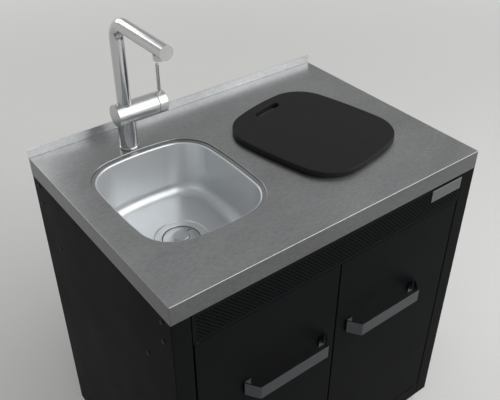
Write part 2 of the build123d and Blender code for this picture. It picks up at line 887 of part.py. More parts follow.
body_plane = Plane(origin=(tap_x, tap_y, mixer_level), x_dir=(0, 1, 0), z_dir=(1, 0, 0))
with BuildPart() as mixer_body:
    with BuildSketch(body_plane.offset(-mixer_left_reach)):
        Circle(mixer_radius)
    extrude(amount=mixer_left_reach + mixer_seam)
    chamfer(mixer_body.edges().filter_by(GeomType.CIRCLE), edge_break)
    with BuildSketch(Plane.XY.offset(mixer_level)):
        with Locations((tap_x, tap_y)):
            Circle(spout_radius)
    extrude(amount=mixer_boss_height)
    with BuildSketch(body_plane.offset(-mixer_left_reach)):
        Circle(mixer_cap_radius + slip_fit)
    extrude(amount=mixer_cap_thickness, mode=Mode.SUBTRACT)
    with BuildSketch(body_plane.offset(mixer_seam)):
        Circle(cartridge_nut_radius + thread_fit)
    extrude(amount=-cartridge_nut_length, mode=Mode.SUBTRACT)
    with BuildSketch(body_plane.offset(mixer_seam)):
        Circle(cartridge_radius + slip_fit)
    extrude(amount=-(cartridge_nut_length + cartridge_length), mode=Mode.SUBTRACT)
    with BuildSketch(Plane.XY.offset(boss_top)):
        with Locations((tap_x, tap_y)):
            Circle(spigot_radius + slip_fit)
    extrude(amount=-(spigot_length + slip_fit), mode=Mode.SUBTRACT)
    with BuildSketch(body_plane):
        Circle(mixer_waterway)
    extrude(amount=mixer_seam - cartridge_length, mode=Mode.SUBTRACT)
    with BuildSketch(Plane.XY.offset(mixer_level)):
        with Locations((tap_x, tap_y)):
            Circle(mixer_waterway)
    extrude(amount=mixer_boss_height, mode=Mode.SUBTRACT)
save(mixer_body.part, "mixer_body")

with BuildPart() as mixer_end_cap:
    with BuildSketch(body_plane.offset(-mixer_left_reach)):
        Circle(mixer_cap_radius)
    extrude(amount=mixer_cap_thickness)
    chamfer(mixer_end_cap.edges().group_by(Axis.X)[0], edge_break / 2)
save(mixer_end_cap.part, "mixer_end_cap")

neck_back = mixer_seam - cartridge_nut_length
with BuildPart() as cartridge:
    with BuildSketch(body_plane.offset(neck_back)):
        Circle(cartridge_radius)
    extrude(amount=-cartridge_length)
    with BuildSketch(body_plane.offset(neck_back)):
        Circle(cartridge_neck)
    extrude(amount=cartridge_nut_length)
    with BuildSketch(body_plane.offset(mixer_seam)):
        Circle(disc_journal_radius + slip_fit)
    extrude(amount=-(disc_journal_length + slip_fit), mode=Mode.SUBTRACT)
save(cartridge.part, "cartridge")

with BuildPart() as cartridge_nut:
    with BuildSketch(body_plane.offset(neck_back)):
        Circle(cartridge_nut_radius)
        Circle(cartridge_neck + slip_fit, mode=Mode.SUBTRACT)
    extrude(amount=cartridge_nut_length)
save(cartridge_nut.part, "cartridge_nut")

with BuildPart() as temperature_disc:
    with BuildSketch(body_plane.offset(mixer_seam + disc_gap)):
        Circle(disc_radius)
    extrude(amount=disc_thickness)
    with BuildSketch(body_plane.offset(mixer_seam + disc_gap)):
        Circle(disc_journal_radius)
    extrude(amount=-(disc_journal_length + disc_gap - slip_fit))
    with BuildSketch(body_plane.offset(mixer_seam + disc_gap + disc_thickness)):
        Circle(disc_stub_radius)
    extrude(amount=disc_stub_length)
save(temperature_disc.part, "temperature_disc")

rod_x = lever_end_x - lever_rod_from_end
rod_bottom = mixer_level + mixer_radius - lever_cap_wall - lever_rod_engagement
rod_length = worktop_height + lever_rod_top - rod_bottom
screw_x = seam_x + lever_screw_from_seam
screw_turn = Location((screw_x, tap_y, mixer_level), (90 + lever_screw_angle, 0, 0))
with BuildPart() as lever_cap:
    with BuildSketch(body_plane.offset(mixer_seam + seam_gap)):
        Circle(mixer_radius)
    extrude(amount=mixer_right_reach - mixer_seam - seam_gap)
    chamfer(lever_cap.edges().filter_by(GeomType.CIRCLE), edge_break)
    with BuildSketch(body_plane.offset(mixer_seam + seam_gap)):
        Circle(mixer_radius - lever_cap_wall)
    extrude(amount=mixer_right_reach - mixer_seam - seam_gap - lever_cap_wall, mode=Mode.SUBTRACT)
    with Locations((rod_x, tap_y, mixer_level + mixer_radius)):
        Hole(lever_rod_radius + slip_fit, depth=2 * lever_cap_wall)
    with Locations(screw_turn):
        with Locations((0, 0, mixer_radius)):
            Hole(lever_screw_radius + slip_fit, depth=2 * lever_cap_wall)
save(lever_cap.part, "lever_cap")

with BuildPart() as lever_rod:
    with Locations((rod_x, tap_y, rod_bottom)):
        Cylinder(lever_rod_radius, rod_length, align=(Align.CENTER, Align.CENTER, Align.MIN))
    fillet(lever_rod.edges().group_by(Axis.Z)[-1], edge_break)
save(lever_rod.part, "lever_rod")

with BuildPart() as lever_set_screw:
    with Locations(screw_turn):
        with Locations((0, 0, mixer_radius - lever_screw_recess)):
            Cylinder(
                lever_screw_radius,
                lever_screw_length,
                align=(Align.CENTER, Align.CENTER, Align.MAX),
            )
save(lever_set_screw.part, "lever_set_screw")

aerator_y = spout_end + aerator_from_end
with BuildPart() as spout:
    with BuildLine(Plane.YZ.offset(tap_x)) as spout_path:
        FilletPolyline(
            (tap_y, boss_top), (tap_y, spout_level), (spout_end, spout_level), radius=spout_bend
        )
    with BuildSketch(Plane.XY.offset(boss_top)):
        with Locations((tap_x, tap_y)):
            Circle(spout_radius)
            Circle(spout_radius - spout_wall, mode=Mode.SUBTRACT)
    sweep(path=spout_path.wire())
    with Locations((tap_x, tap_y, 0)):
        add(
            turned(
                (spigot_radius - spout_wall, boss_top - spigot_length),
                (spigot_radius, boss_top - spigot_length),
                (spigot_radius, boss_top),
                (spout_radius, boss_top),
                (spout_radius, boss_top + spout_shoulder),
                (spigot_radius - spout_wall, boss_top + spout_shoulder),
            )
        )
    with Locations((tap_x, aerator_y, spout_level)):
        Cylinder(
            aerator_radius + slip_fit,
            2 * spout_radius,
            align=(Align.CENTER, Align.CENTER, Align.MAX),
            mode=Mode.SUBTRACT,
        )
save(spout.part, "spout")

with BuildPart() as spout_end_cap:
    with BuildSketch(upright(spout_end)):
        with Locations((tap_x, spout_level)):
            Circle(spout_radius - spout_wall - slip_fit)
    extrude(amount=-spout_cap_thickness)
save(spout_end_cap.part, "spout_end_cap")

aerator_bottom = spout_level - spout_radius - aerator_stand
aerator_top = spout_level - spout_radius + aerator_seat
with BuildPart() as aerator:
    with BuildSketch(Plane.XY.offset(aerator_bottom)):
        with Locations((tap_x, aerator_y)):
            Circle(aerator_radius)
    extrude(amount=aerator_top - aerator_bottom)
    chamfer(aerator.edges().group_by(Axis.Z)[0], edge_break)
    with BuildSketch(Plane.XY.offset(aerator_bottom)):
        with Locations((tap_x, aerator_y)):
            Circle(aerator_radius - aerator_wall)
    extrude(amount=aerator_recess, mode=Mode.SUBTRACT)
    with BuildSketch(Plane.XY.offset(aerator_bottom + aerator_recess + aerator_screen)):
        with Locations((tap_x, aerator_y)):
            Circle(aerator_radius - aerator_wall)
    extrude(amount=aerator_top - aerator_bottom, mode=Mode.SUBTRACT)
    with BuildSketch(Plane.XY.offset(aerator_bottom + aerator_recess)):
        with Locations((tap_x, aerator_y)):
            with HexLocations(aerator_hole_pitch / 2, 5, 5):
                Circle(aerator_hole_radius)
    extrude(amount=aerator_screen, mode=Mode.SUBTRACT)
save(aerator.part, "aerator")

shank_bottom = base_level - shank_length
with BuildPart() as tap_shank:
    with BuildSketch(Plane.XY.offset(shank_bottom)):
        with Locations((tap_x, tap_y)):
            Circle(shank_radius)
    extrude(amount=shank_length + shank_engagement)
    with BuildSketch(Plane.XY.offset(shank_bottom)):
        with Locations((tap_x, tap_y)):
            with GridLocations(inlet_spacing, inlet_spacing, 2, 1):
                Circle(inlet_radius)
    extrude(amount=inlet_depth, mode=Mode.SUBTRACT)
    with BuildSketch(Plane.XY.offset(shank_bottom)):
        with Locations((tap_x, tap_y)):
            with GridLocations(inlet_spacing, inlet_spacing, 2, 1):
                Circle(shank_waterway)
    extrude(amount=shank_length + shank_engagement, mode=Mode.SUBTRACT)
save(tap_shank.part, "tap_shank")

with BuildPart() as tap_nut:
    with BuildSketch(Plane.XY.offset(underside)):
        with Locations((tap_x, tap_y)):
            RegularPolygon(tap_nut_radius, 8)
            Circle(shank_radius + thread_fit, mode=Mode.SUBTRACT)
    extrude(amount=-tap_nut_height)
save(tap_nut.part, "tap_nut")

# Chopping board: the rim's own outline with play, so that it also drops in as a lid
with BuildPart() as cutting_board:
    board_plane = Plane(
        origin=(left + board_from_left, front + board_from_front, worktop_height),
        x_dir=(cos(radians(board_angle)), sin(radians(board_angle)), 0),
    )
    with BuildSketch(board_plane):
        add(rim_shape(board_margin))
    extrude(amount=board_thickness)
    board_edges = cutting_board.edges().group_by(Axis.Z)
    fillet(board_edges[0] + board_edges[-1], board_edge)
    with BuildSketch(board_plane):
        with Locations((0, board_slot_offset)):
            SlotOverall(board_slot_length, board_slot_width)
    extrude(amount=board_thickness, mode=Mode.SUBTRACT)
    slot_edges = cutting_board.edges().group_by(Axis.Z)
    inner = (slot_edges[0] + slot_edges[-1]).filter_by(
        lambda edge: abs(board_plane.to_local_coords(edge.center()).X) <= board_slot_length / 2
        and abs(board_plane.to_local_coords(edge.center()).Y - board_slot_offset) <= board_slot_width
        and edge.length <= board_slot_length
    )
    fillet(inner, board_slot_edge)
save(cutting_board.part, "cutting_board")

# Side panels: outer wall folded into a front post, a rear flange and top and bottom flanges
for side, word in sides:
    outline = [
        (post_edge, front + post_return),
        (post_edge, front),
        (right, front),
        (right, rear),
        (right - side_flange, rear),
    ]
    if side < 0:
        outline = [(-x, y) for x, y in reversed(outline)]
    with BuildPart() as side_panel:
        with BuildSketch(Plane.XY.offset(ground_clearance)):
            add(folded(outline, cabinet_sheet, (sheet_fold, sheet_fold, sheet_fold)))
        extrude(amount=cabinet_top - ground_clearance)
        with BuildSketch(Plane.XY.offset(cabinet_top)):
            with Locations((side * (right - cabinet_sheet - (side_flange - cabinet_sheet) / 2), middle)):
                Rectangle(side_flange - cabinet_sheet, worktop_depth - 2 * cabinet_sheet)
        extrude(amount=-cabinet_sheet)
        with BuildSketch(Plane.XY.offset(ground_clearance)):
            foot_flange = side_foot_flange - cabinet_sheet
            with Locations((side * (right - cabinet_sheet - foot_flange / 2), middle)):
                Rectangle(foot_flange, worktop_depth - 2 * cabinet_sheet)
        extrude(amount=cabinet_sheet)
        fillet(
            side_panel.edges().group_by(Axis.Z)[-1].group_by(lambda edge: abs(edge.center().X))[-1],
            top_fold,
        )
        with Locations([(side * right, y, z) for y, z in side_screw_places]):
            Cylinder(
                screw_radius + screw_fit, 4 * cabinet_sheet, rotation=(0, 90, 0), mode=Mode.SUBTRACT
            )
        with Locations([(side * top_screw_x, y, cabinet_top) for y in top_screw_ys]):
            Cylinder(screw_radius + screw_fit, 4 * cabinet_sheet, mode=Mode.SUBTRACT)
        for z in rear_screw_zs:
            with Locations(Location((side * rear_screw_x, rear, z), (-90, 0, 0))):
                add(
                    turned(
                        (0, 0),
                        (rear_screw_head + screw_fit, 0),
                        (rear_screw_radius + screw_fit, -cabinet_sheet),
                        (0, -cabinet_sheet),
                    ),
                    mode=Mode.SUBTRACT,
                )
    save(side_panel.part, f"{word}_side_panel")

# Back panel inside the rear flanges, with an opening for the pipes
with BuildPart() as back_panel:
    with BuildSketch(upright(back_y)):
        panel_bottom = ground_clearance + cabinet_sheet + panel_slip
        panel_top = cabinet_top - cabinet_sheet - panel_slip
        with Locations((0, (panel_bottom + panel_top) / 2)):
            Rectangle(2 * (right - sheet_fold - panel_slip), panel_top - panel_bottom)
        with Locations((bowl_x, outlet_level)):
            Rectangle(service_width, service_height, mode=Mode.SUBTRACT)
        with Locations([(side * rear_screw_x, z) for side, word in sides for z in rear_screw_zs]):
            Circle(rear_screw_radius + screw_fit, mode=Mode.SUBTRACT)
    extrude(amount=cabinet_sheet)
save(back_panel.part, "back_panel")

# Floor with flanges turned down against the side panels
floor_front = front + floor_setback
floor_rear = back_y - cabinet_sheet - panel_slip
floor_half = side_inner - panel_slip / 2
with BuildPart() as floor_panel:
    with BuildSketch(upright(floor_front)):
        add(
            folded(
                [
                    (floor_half, floor_height - floor_flange),
                    (floor_half, floor_height),
                    (-floor_half, floor_height),
                    (-floor_half, floor_height - floor_flange),
                ],
                cabinet_sheet,
                (sheet_fold, sheet_fold),
            )
        )
    extrude(amount=floor_front - floor_rear)
    floor_screws = side_screw_places[-2:]
    with Locations([(side * right, y, z) for side, word in sides for y, z in floor_screws]):
        Cylinder(
            screw_radius + screw_fit, 6 * cabinet_sheet, rotation=(0, 90, 0), mode=Mode.SUBTRACT
        )
save(floor_panel.part, "floor_panel")

# Plinth rail under the doors: front skin with top, bottom and end flanges
with BuildPart() as plinth_rail:
    with BuildSketch(Plane.XY.offset(ground_clearance)):
        with Locations((0, front)):
            Rectangle(2 * vent_edge, cabinet_sheet, align=(Align.CENTER, Align.MIN))
        with Locations([(side * (vent_edge - cabinet_sheet / 2), front) for side, word in sides]):
            Rectangle(cabinet_sheet, vent_end_flange, align=(Align.CENTER, Align.MIN))
    extrude(amount=plinth_top - ground_clearance)
    with BuildSketch(Plane.XY.offset(plinth_top)):
        with Locations((0, front)):
            Rectangle(2 * vent_edge, plinth_flange, align=(Align.CENTER, Align.MIN))
    extrude(amount=-cabinet_sheet)
    with BuildSketch(Plane.XY.offset(ground_clearance)):
        with Locations((0, front)):
            Rectangle(2 * vent_edge, plinth_foot_flange, align=(Align.CENTER, Align.MIN))
    extrude(amount=cabinet_sheet)
    with Locations([(side * pivot_x, pivot_y, plinth_top) for side, word in sides]):
        Cylinder(pin_radius + pin_clearance, 4 * cabinet_sheet, mode=Mode.SUBTRACT)
save(plinth_rail.part, "plinth_rail")

# Vent panel above the doors, its skin left unpierced
with BuildPart() as vent_panel:
    with BuildSketch(upright(front)):
        with Locations((0, vent_bottom)):
            Rectangle(2 * vent_edge, vent_top - vent_bottom, align=(Align.CENTER, Align.MIN))
    extrude(amount=-cabinet_sheet)
    with BuildSketch(Plane.XY.offset(vent_top)):
        with Locations((0, front + cabinet_sheet)):
            Rectangle(2 * vent_edge, vent_top_flange - cabinet_sheet, align=(Align.CENTER, Align.MIN))
    extrude(amount=-cabinet_sheet)
    with BuildSketch(Plane.XY.offset(vent_bottom)):
        with Locations((0, front + cabinet_sheet)):
            Rectangle(
                2 * vent_edge, vent_bottom_flange - cabinet_sheet, align=(Align.CENTER, Align.MIN)
            )
    extrude(amount=cabinet_sheet)
    with BuildSketch(Plane.XY.offset(vent_bottom)):
        vent_end_x = vent_edge - cabinet_sheet / 2
        with Locations([(side * vent_end_x, front + cabinet_sheet) for side, word in sides]):
            Rectangle(
                cabinet_sheet, vent_end_flange - cabinet_sheet, align=(Align.CENTER, Align.MIN)
            )
    extrude(amount=vent_top - vent_bottom)
    with Locations([(side * pivot_x, pivot_y, vent_bottom) for side, word in sides]):
        Cylinder(pin_radius + pin_clearance, 4 * cabinet_sheet, mode=Mode.SUBTRACT)
save(vent_panel.part, "vent_panel")

# Plain plate at the right end of the vent panel
with BuildPart() as badge_plate:
    with BuildSketch(upright(front)):
        with Locations((vent_edge - badge_inset, worktop_height - badge_drop)):
            Rectangle(badge_width, badge_height, align=(Align.MAX, Align.MAX))
    extrude(amount=badge_thickness)
    chamfer(badge_plate.edges().group_by(Axis.Y)[0], badge_thickness / 3)
save(badge_plate.part, "badge_plate")


def cross_rail():
    """Channel behind the front of the cabinet, with end tabs for the side screws."""
    with BuildPart() as rail:
        with BuildSketch(Plane.XY.offset(rail_top)):
            with Locations((0, front + rail_setback)):
                Rectangle(2 * side_inner, rail_flange, align=(Align.CENTER, Align.MIN))
        extrude(amount=-rail_sheet)
        with BuildSketch(Plane.XY.offset(rail_top)):
            with Locations((0, front + rail_setback)):
                Rectangle(2 * side_inner, rail_sheet, align=(Align.CENTER, Align.MIN))
        extrude(amount=-rail_web)
        with BuildSketch(Plane.XY.offset(rail_top)):
            for side in (-1, 1):
                with Locations((side * (side_inner - rail_sheet / 2), front + rail_setback)):
                    Rectangle(rail_sheet, rail_flange, align=(Align.CENTER, Align.MIN))
        extrude(amount=-rail_tab_height)
        with Locations(
            [(side * right, y, z) for side in (-1, 1) for y, z in side_screw_places[:2]]
        ):
            Cylinder(
                screw_radius + screw_fit, 6 * cabinet_sheet, rotation=(0, 90, 0), mode=Mode.SUBTRACT
            )
    return rail.part


# Cross rails under the worktop, at the front and, turned about, at the rear
with BuildPart() as cross_rails:
    add(cross_rail())
    with Locations(Location((0, 2 * middle, 0), (0, 0, 180))):
        add(cross_rail())
save(cross_rails.part, "cross_rails")

# Angle braces along the inside of the side panels
with BuildPart() as side_braces:
    brace_front = front + brace_screw_front - brace_overhang
    brace_rear = front + brace_screw_rear + brace_overhang
    for side, word in sides:
        angle = [
            (side_inner, brace_level - brace_height / 2),
            (side_inner, brace_level + brace_height / 2),
            (side_inner - brace_leg, brace_level + brace_height / 2),
        ]
        if side < 0:
            angle = [(-x, z) for x, z in reversed(angle)]
        with BuildSketch(upright(brace_front)):
            add(folded(angle, cabinet_sheet, (sheet_fold,)))
        extrude(amount=brace_front - brace_rear)
    brace_screws = side_screw_places[4:6]
    with Locations([(side * right, y, z) for side, word in sides for y, z in brace_screws]):
        Cylinder(
            screw_radius + screw_fit, 6 * cabinet_sheet, rotation=(0, 90, 0), mode=Mode.SUBTRACT
        )
save(side_braces.part, "side_braces")

# Hinge brackets: a plate with a riveted pin at the top and bottom of each door
plate_x = vent_edge - cabinet_sheet - panel_slip - hinge_plate_width / 2
plate_y = front + cabinet_sheet + panel_slip
with BuildPart() as hinge_brackets:
    for side, word in sides:
        with BuildSketch(Plane.XY.offset(vent_bottom + cabinet_sheet)):
            with Locations((side * plate_x, plate_y)):
                Rectangle(hinge_plate_width, hinge_plate_depth, align=(Align.CENTER, Align.MIN))
        extrude(amount=hinge_plate)
        with Locations((side * pivot_x, pivot_y, vent_bottom + cabinet_sheet + hinge_plate)):
            Cylinder(
                pin_radius,
                hinge_plate + cabinet_sheet + panel_gap + pin_reach,
                align=(Align.CENTER, Align.CENTER, Align.MAX),
            )
        with BuildSketch(Plane.XY.offset(plinth_top - cabinet_sheet)):
            with Locations((side * plate_x, plate_y)):
                Rectangle(hinge_plate_width, hinge_plate_depth, align=(Align.CENTER, Align.MIN))
        extrude(amount=-hinge_plate)
        with Locations((side * pivot_x, pivot_y, plinth_top - cabinet_sheet - hinge_plate)):
            Cylinder(
                pin_radius,
                hinge_plate + cabinet_sheet + door_bottom - plinth_top + pin_reach,
                align=(Align.CENTER, Align.CENTER, Align.MIN),
            )
        with Locations((side * pivot_x, pivot_y, plinth_top)):
            Cylinder(pin_collar_radius, pin_collar, align=(Align.CENTER, Align.CENTER, Align.MIN))
save(hinge_brackets.part, "hinge_brackets")

# Doors: folded pans with a lip all round the back, one mirrored from the other
door_inner = door_centre_gap / 2
handle_level = worktop_height - handle_drop - handle_height / 2
handle_corner = handle_length / 2
handle_hole = handle_corner - handle_screw_from_corner
for side, word in sides:
    handle_x = side * handle_from_centre
    handle_spots = [(handle_x - handle_hole, handle_level), (handle_x + handle_hole, handle_level)]
    with BuildPart() as door:
        door_x = side * (door_edge + door_inner) / 2
        door_z = (door_bottom + door_top) / 2
        with BuildSketch(upright(front)):
            with Locations((door_x, door_z)):
                Rectangle(door_edge - door_inner, door_top - door_bottom)
        extrude(amount=-door_depth)
        fillet(door.faces().sort_by(Axis.Y)[0].edges(), door_corner)
        with BuildSketch(upright(front + cabinet_sheet)):
            with Locations((door_x, door_z)):
                Rectangle(
                    door_edge - door_inner - 2 * cabinet_sheet,
                    door_top - door_bottom - 2 * cabinet_sheet,
                )
        extrude(amount=2 * cabinet_sheet - door_depth, mode=Mode.SUBTRACT)
        with BuildSketch(upright(front + door_depth)):
            with Locations((door_x, door_z)):
                Rectangle(
                    door_edge - door_inner - 2 * door_lip, door_top - door_bottom - 2 * door_lip
                )
        extrude(amount=2 * cabinet_sheet, mode=Mode.SUBTRACT)
        with Locations((side * pivot_x, pivot_y, door_top), (side * pivot_x, pivot_y, door_bottom)):
            Cylinder(bush_radius + slip_fit, 4 * cabinet_sheet, mode=Mode.SUBTRACT)
        with BuildSketch(upright(front)):
            with Locations(handle_spots):
                Circle(handle_screw_radius + screw_fit)
        extrude(amount=-2 * cabinet_sheet, mode=Mode.SUBTRACT)
    save(door.part, f"{word}_door")

    with BuildPart() as bushes:
        bush = turned(
            (pin_radius + pin_clearance, -bush_length),
            (bush_radius, -bush_length),
            (bush_radius, 0),
            (bush_flange_radius, 0),
            (bush_flange_radius, bush_flange),
            (pin_radius + pin_clearance, bush_flange),
        )
        with Locations(
            Location((side * pivot_x, pivot_y, door_top)),
            Location((side * pivot_x, pivot_y, door_bottom), (180, 0, 0)),
        ):
            add(bush)
    save(bushes.part, f"{word}_door_bushes")

    with BuildPart() as handle:
        bar = handle_front_length / 2
        strip = [
            (handle_tab - handle_corner, front),
            (-handle_corner, front),
            (-bar, front - handle_reach),
            (bar, front - handle_reach),
            (handle_corner, front),
            (handle_corner - handle_tab, front),
        ]
        with BuildSketch(Plane.XY.offset(handle_level - handle_height / 2)):
            with Locations((handle_x, 0)):
                add(folded(strip, handle_strip, (handle_fold,) * 4))
        extrude(amount=handle_height)
        with BuildSketch(upright(front)):
            with Locations(handle_spots):
                Circle(handle_screw_radius + screw_fit)
        extrude(amount=handle_strip, mode=Mode.SUBTRACT)
    save(handle.part, f"{word}_handle")

    with BuildPart() as handle_screws:
        tab_face = front - handle_strip
        for spot, level in handle_spots:
            with Locations(Location((spot, tab_face, level), (90, 0, 0))):
                add(
                    pan_screw(
                        handle_screw_radius,
                        handle_screw_head,
                        handle_screw_head_height,
                        handle_screw_length,
                    )
                )
            with BuildSketch(upright(front + cabinet_sheet)):
                with Locations((spot, level)):
                    RegularPolygon(handle_nut_radius, 6)
            extrude(amount=-handle_nut_height)
    save(handle_screws.part, f"{word}_handle_screws")

# Magnets under the vent panel that hold the doors by their rear lips
with BuildPart() as door_magnets:
    with BuildSketch(Plane.XY.offset(vent_bottom)):
        magnet_y = front + door_depth + magnet_gap
        with Locations([(side * magnet_from_centre, magnet_y) for side, word in sides]):
            Rectangle(magnet_width, magnet_depth, align=(Align.CENTER, Align.MIN))
    extrude(amount=-magnet_height)
save(door_magnets.part, "door_magnets")

# Pan-head screws through the side panels into the rails, braces and floor
with BuildPart() as side_screws:
    for side, word in sides:
        for y, z in side_screw_places:
            with Locations(Location((side * right, y, z), (0, side * 90, 0))):
                add(pan_screw(screw_radius, screw_head_radius, screw_head_height, screw_length))
save(side_screws.part, "side_screws")

# Countersunk screws through the rear flanges into the back panel
with BuildPart() as rear_screws:
    for side, word in sides:
        for z in rear_screw_zs:
            with Locations(Location((side * rear_screw_x, rear, z), (-90, 0, 0))):
                add(
                    turned(
                        (0, 0),
                        (rear_screw_head, 0),
                        (rear_screw_radius, -cabinet_sheet),
                        (rear_screw_radius, -rear_screw_length),
                        (0, -rear_screw_length),
                    )
                )
save(rear_screws.part, "rear_screws")

# Screws from inside the cabinet up into the worktop's lip
with BuildPart() as worktop_screws:
    for side, word in sides:
        for y in top_screw_ys:
            with Locations(Location((side * top_screw_x, y, cabinet_top - cabinet_sheet), (180, 0, 0))):
                add(pan_screw(screw_radius, screw_head_radius, screw_head_height, screw_length))
save(worktop_screws.part, "worktop_screws")

# Corner plates with a threaded boss for each foot
foot_level = ground_clearance + cabinet_sheet
foot_places = []
for way_y in (-1, 1):
    for way_x in (-1, 1):
        foot_x = way_x * (right - foot_inset_side)
        foot_y = middle + way_y * (worktop_depth / 2 - foot_inset_end)
        foot_places.append((foot_x, foot_y))
with BuildPart() as foot_brackets:
    for foot_x, foot_y in foot_places:
        with BuildSketch(Plane.XY.offset(foot_level)):
            with Locations((foot_x, foot_y)):
                Rectangle(foot_plate, foot_plate)
        extrude(amount=foot_plate_thickness)
        with BuildSketch(Plane.XY.offset(foot_level)):
            with Locations((foot_x, foot_y)):
                Circle(foot_boss_radius)
        extrude(amount=foot_plate_thickness + foot_boss_height)
        with Locations((foot_x, foot_y, foot_level)):
            Cylinder(foot_stud_radius + thread_fit, 4 * foot_boss_height, mode=Mode.SUBTRACT)
save(foot_brackets.part, "foot_brackets")

# Levelling feet: a threaded stud with a spanner hexagon, moulded into a round pad
for (foot_x, foot_y), word in zip(foot_places, ("front_left", "front_right", "rear_left", "rear_right")):
    with BuildPart() as foot:
        with Locations((foot_x, foot_y, 0)):
            add(
                turned(
                    (0, 0),
                    (foot_pad_radius - foot_pad_rim / 4, 0),
                    (foot_pad_radius, foot_pad_rim / 4),
                    (foot_pad_radius, foot_pad_rim),
                    (foot_neck_radius, foot_pad_height),
                    (foot_stud_radius, foot_pad_height),
                    (foot_stud_radius, foot_stud_top),
                    (0, foot_stud_top),
                )
            )
        with BuildSketch(Plane.XY.offset(foot_pad_height)):
            with Locations((foot_x, foot_y)):
                RegularPolygon(foot_nut_radius, 6)
        extrude(amount=foot_nut_height)
    save(foot.part, f"foot_{word}")
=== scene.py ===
import math

import bmesh
import bpy
from bpy.props import FloatProperty, FloatVectorProperty, PointerProperty
from mathutils import Matrix, Vector


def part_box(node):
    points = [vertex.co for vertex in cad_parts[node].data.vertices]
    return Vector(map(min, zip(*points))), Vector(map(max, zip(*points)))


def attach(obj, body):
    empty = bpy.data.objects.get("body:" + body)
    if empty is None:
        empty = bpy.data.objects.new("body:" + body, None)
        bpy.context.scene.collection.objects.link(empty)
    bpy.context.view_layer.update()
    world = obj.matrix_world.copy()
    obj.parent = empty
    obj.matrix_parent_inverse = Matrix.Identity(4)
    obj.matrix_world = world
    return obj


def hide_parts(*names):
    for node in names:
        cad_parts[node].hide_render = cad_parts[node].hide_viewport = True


bl_info = {
    "name": "Outdoor sink unit",
    "version": (1, 0, 0),
    "blender": (4, 5, 0),
    "location": "View3D > Sidebar > Sink unit",
    "description": "Finishes, perforated vent, screws, feet and studio of an outdoor sink cabinet",
    "category": "Object",
}

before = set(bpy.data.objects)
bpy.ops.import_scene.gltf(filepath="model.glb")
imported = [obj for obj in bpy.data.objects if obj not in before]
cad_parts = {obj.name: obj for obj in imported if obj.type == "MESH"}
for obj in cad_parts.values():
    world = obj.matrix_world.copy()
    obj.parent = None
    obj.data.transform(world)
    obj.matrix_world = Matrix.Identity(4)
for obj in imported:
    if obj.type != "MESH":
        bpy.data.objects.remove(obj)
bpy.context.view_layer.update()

MM = 0.001

# Where the camera stood for the photograph, in metres and degrees, and its lens in millimetres
CAMERA_PLACE = (-0.8253, -1.0460, 1.7559)
CAMERA_TILT = 53.81
CAMERA_TURN = -37.26
CAMERA_LENS = 50.0
CAMERA_SENSOR = 36.0

# Each soft box's place, aim and width in metres, and the property that holds its power
SOFT_BOXES = {
    "soft_box_front": ((1.5, -1.9, 2.7), (0.0, 0.0, 0.8), 5.2, "key"),
    "soft_box_rear": ((-0.5, 2.7, 2.3), (-0.3, 0.2, 0.9), 1.6, "rear"),
    "soft_box_left": ((-2.9, -0.6, 2.0), (0.0, 0.0, 0.8), 1.6, "side"),
}
# Height of a soft box as a share of its width
SOFT_BOX_SHAPE = 0.7

# How far the floor reaches from its middle and how far it lies under the feet, in metres
FLOOR_REACH = 14.0
FLOOR_DROP = 0.5 * MM

# Smooth noise seldom leaves the first range, and the random number of a cell fills the second
NOISE_RANGE = (0.25, 0.75)
CELL_RANGE = (0.0, 1.0)

# Materials that pieces of several groups share
TURNED_STEEL = "stainless_bar_turned_satin"
ZINC_PLATE = "steel_zinc_plated"
BLACK_OXIDE = "steel_black_oxide"

# Side view of a pan head from its rim up, as shares of its radius and height
PAN_HEAD = ((1.0, 0.0), (1.0, 0.45), (0.93, 0.72), (0.78, 0.92), (0.6, 1.0))

# Side view of a foot's pad from its underside round to its top. The skirt is given in millimetres
# in from the rim and up, and the crown in shares of the pad's radius and height.
PAD_SKIRT = (
    (4.0, 0.6), (3.4, 0.0), (1.0, 0.0), (0.3, 0.3), (0.0, 1.0), (0.0, 3.6), (0.3, 4.2), (1.0, 4.6),
)
PAD_CROWN = ((0.62, 0.66), (0.46, 0.86), (0.4, 1.0))


def linear(colour):
    """The linear red, green and blue of an sRGB hex colour."""
    parts = [int(colour[i : i + 2], 16) / 255 for i in (1, 3, 5)]
    return tuple(c / 12.92 if c <= 0.04045 else ((c + 0.055) / 1.055) ** 2.4 for c in parts)


def colour_property(name, description, colour):
    """A colour that a user can change, with its sRGB hex default."""
    return FloatVectorProperty(
        name=name,
        description=description,
        subtype="COLOR",
        size=3,
        min=0.0,
        max=1.0,
        default=linear(colour),
    )


def length_property(name, description, millimetres):
    """A length that a user can change, with its default in millimetres."""
    return FloatProperty(
        name=name,
        description=description,
        subtype="DISTANCE",
        unit="LENGTH",
        min=0.0,
        default=millimetres * MM,
        precision=4,
    )


def power_property(name, description, watts):
    """A lamp's power that a user can change, with its default in watts."""
    return FloatProperty(
        name=name, description=description, unit="POWER", min=0.0, default=watts
    )


class SteelFinish(bpy.types.PropertyGroup):
    """Colours and grain of the stainless pieces."""

    worktop: colour_property("Worktop", "Brushed sheet of the worktop", "#9e9fa0")
    # This colour is painted shade: the folded-down edges are made darker for the dark reflections
    # they show, not by a second brushing
    edge: colour_property("Worktop edge", "Folded edges, brushed again after folding", "#6c6d6e")
    # This colour is painted light: the sheet turned up at the rear is made lighter for the bright
    # reflection it shows
    upstand_painted_light: colour_property("Upstand", "Upstand at the rear, left brighter", "#cecfd0")
    bowl: colour_property("Bowl", "Satin sheet of the bowl and its drain", "#ced1d3")
    tap: colour_property("Tap", "Tube and turned pieces of the tap, and the basket", "#c9caca")
    handle: colour_property("Handles", "Brushed strip of the door handles", "#4b4c50")
    badge: colour_property("Plate", "Brushed plate beside the vent", "#6b6d6f")
    knob: colour_property("Knob", "Turned knob of the strainer", "#b6babc")
    stroke_length: length_property("Stroke length", "Length of a brush stroke", 14.0)
    stroke_width: length_property("Stroke width", "Width of a brush stroke", 2.6)
    patch: length_property("Patch", "Size of a patch brushed in one direction", 24.0)


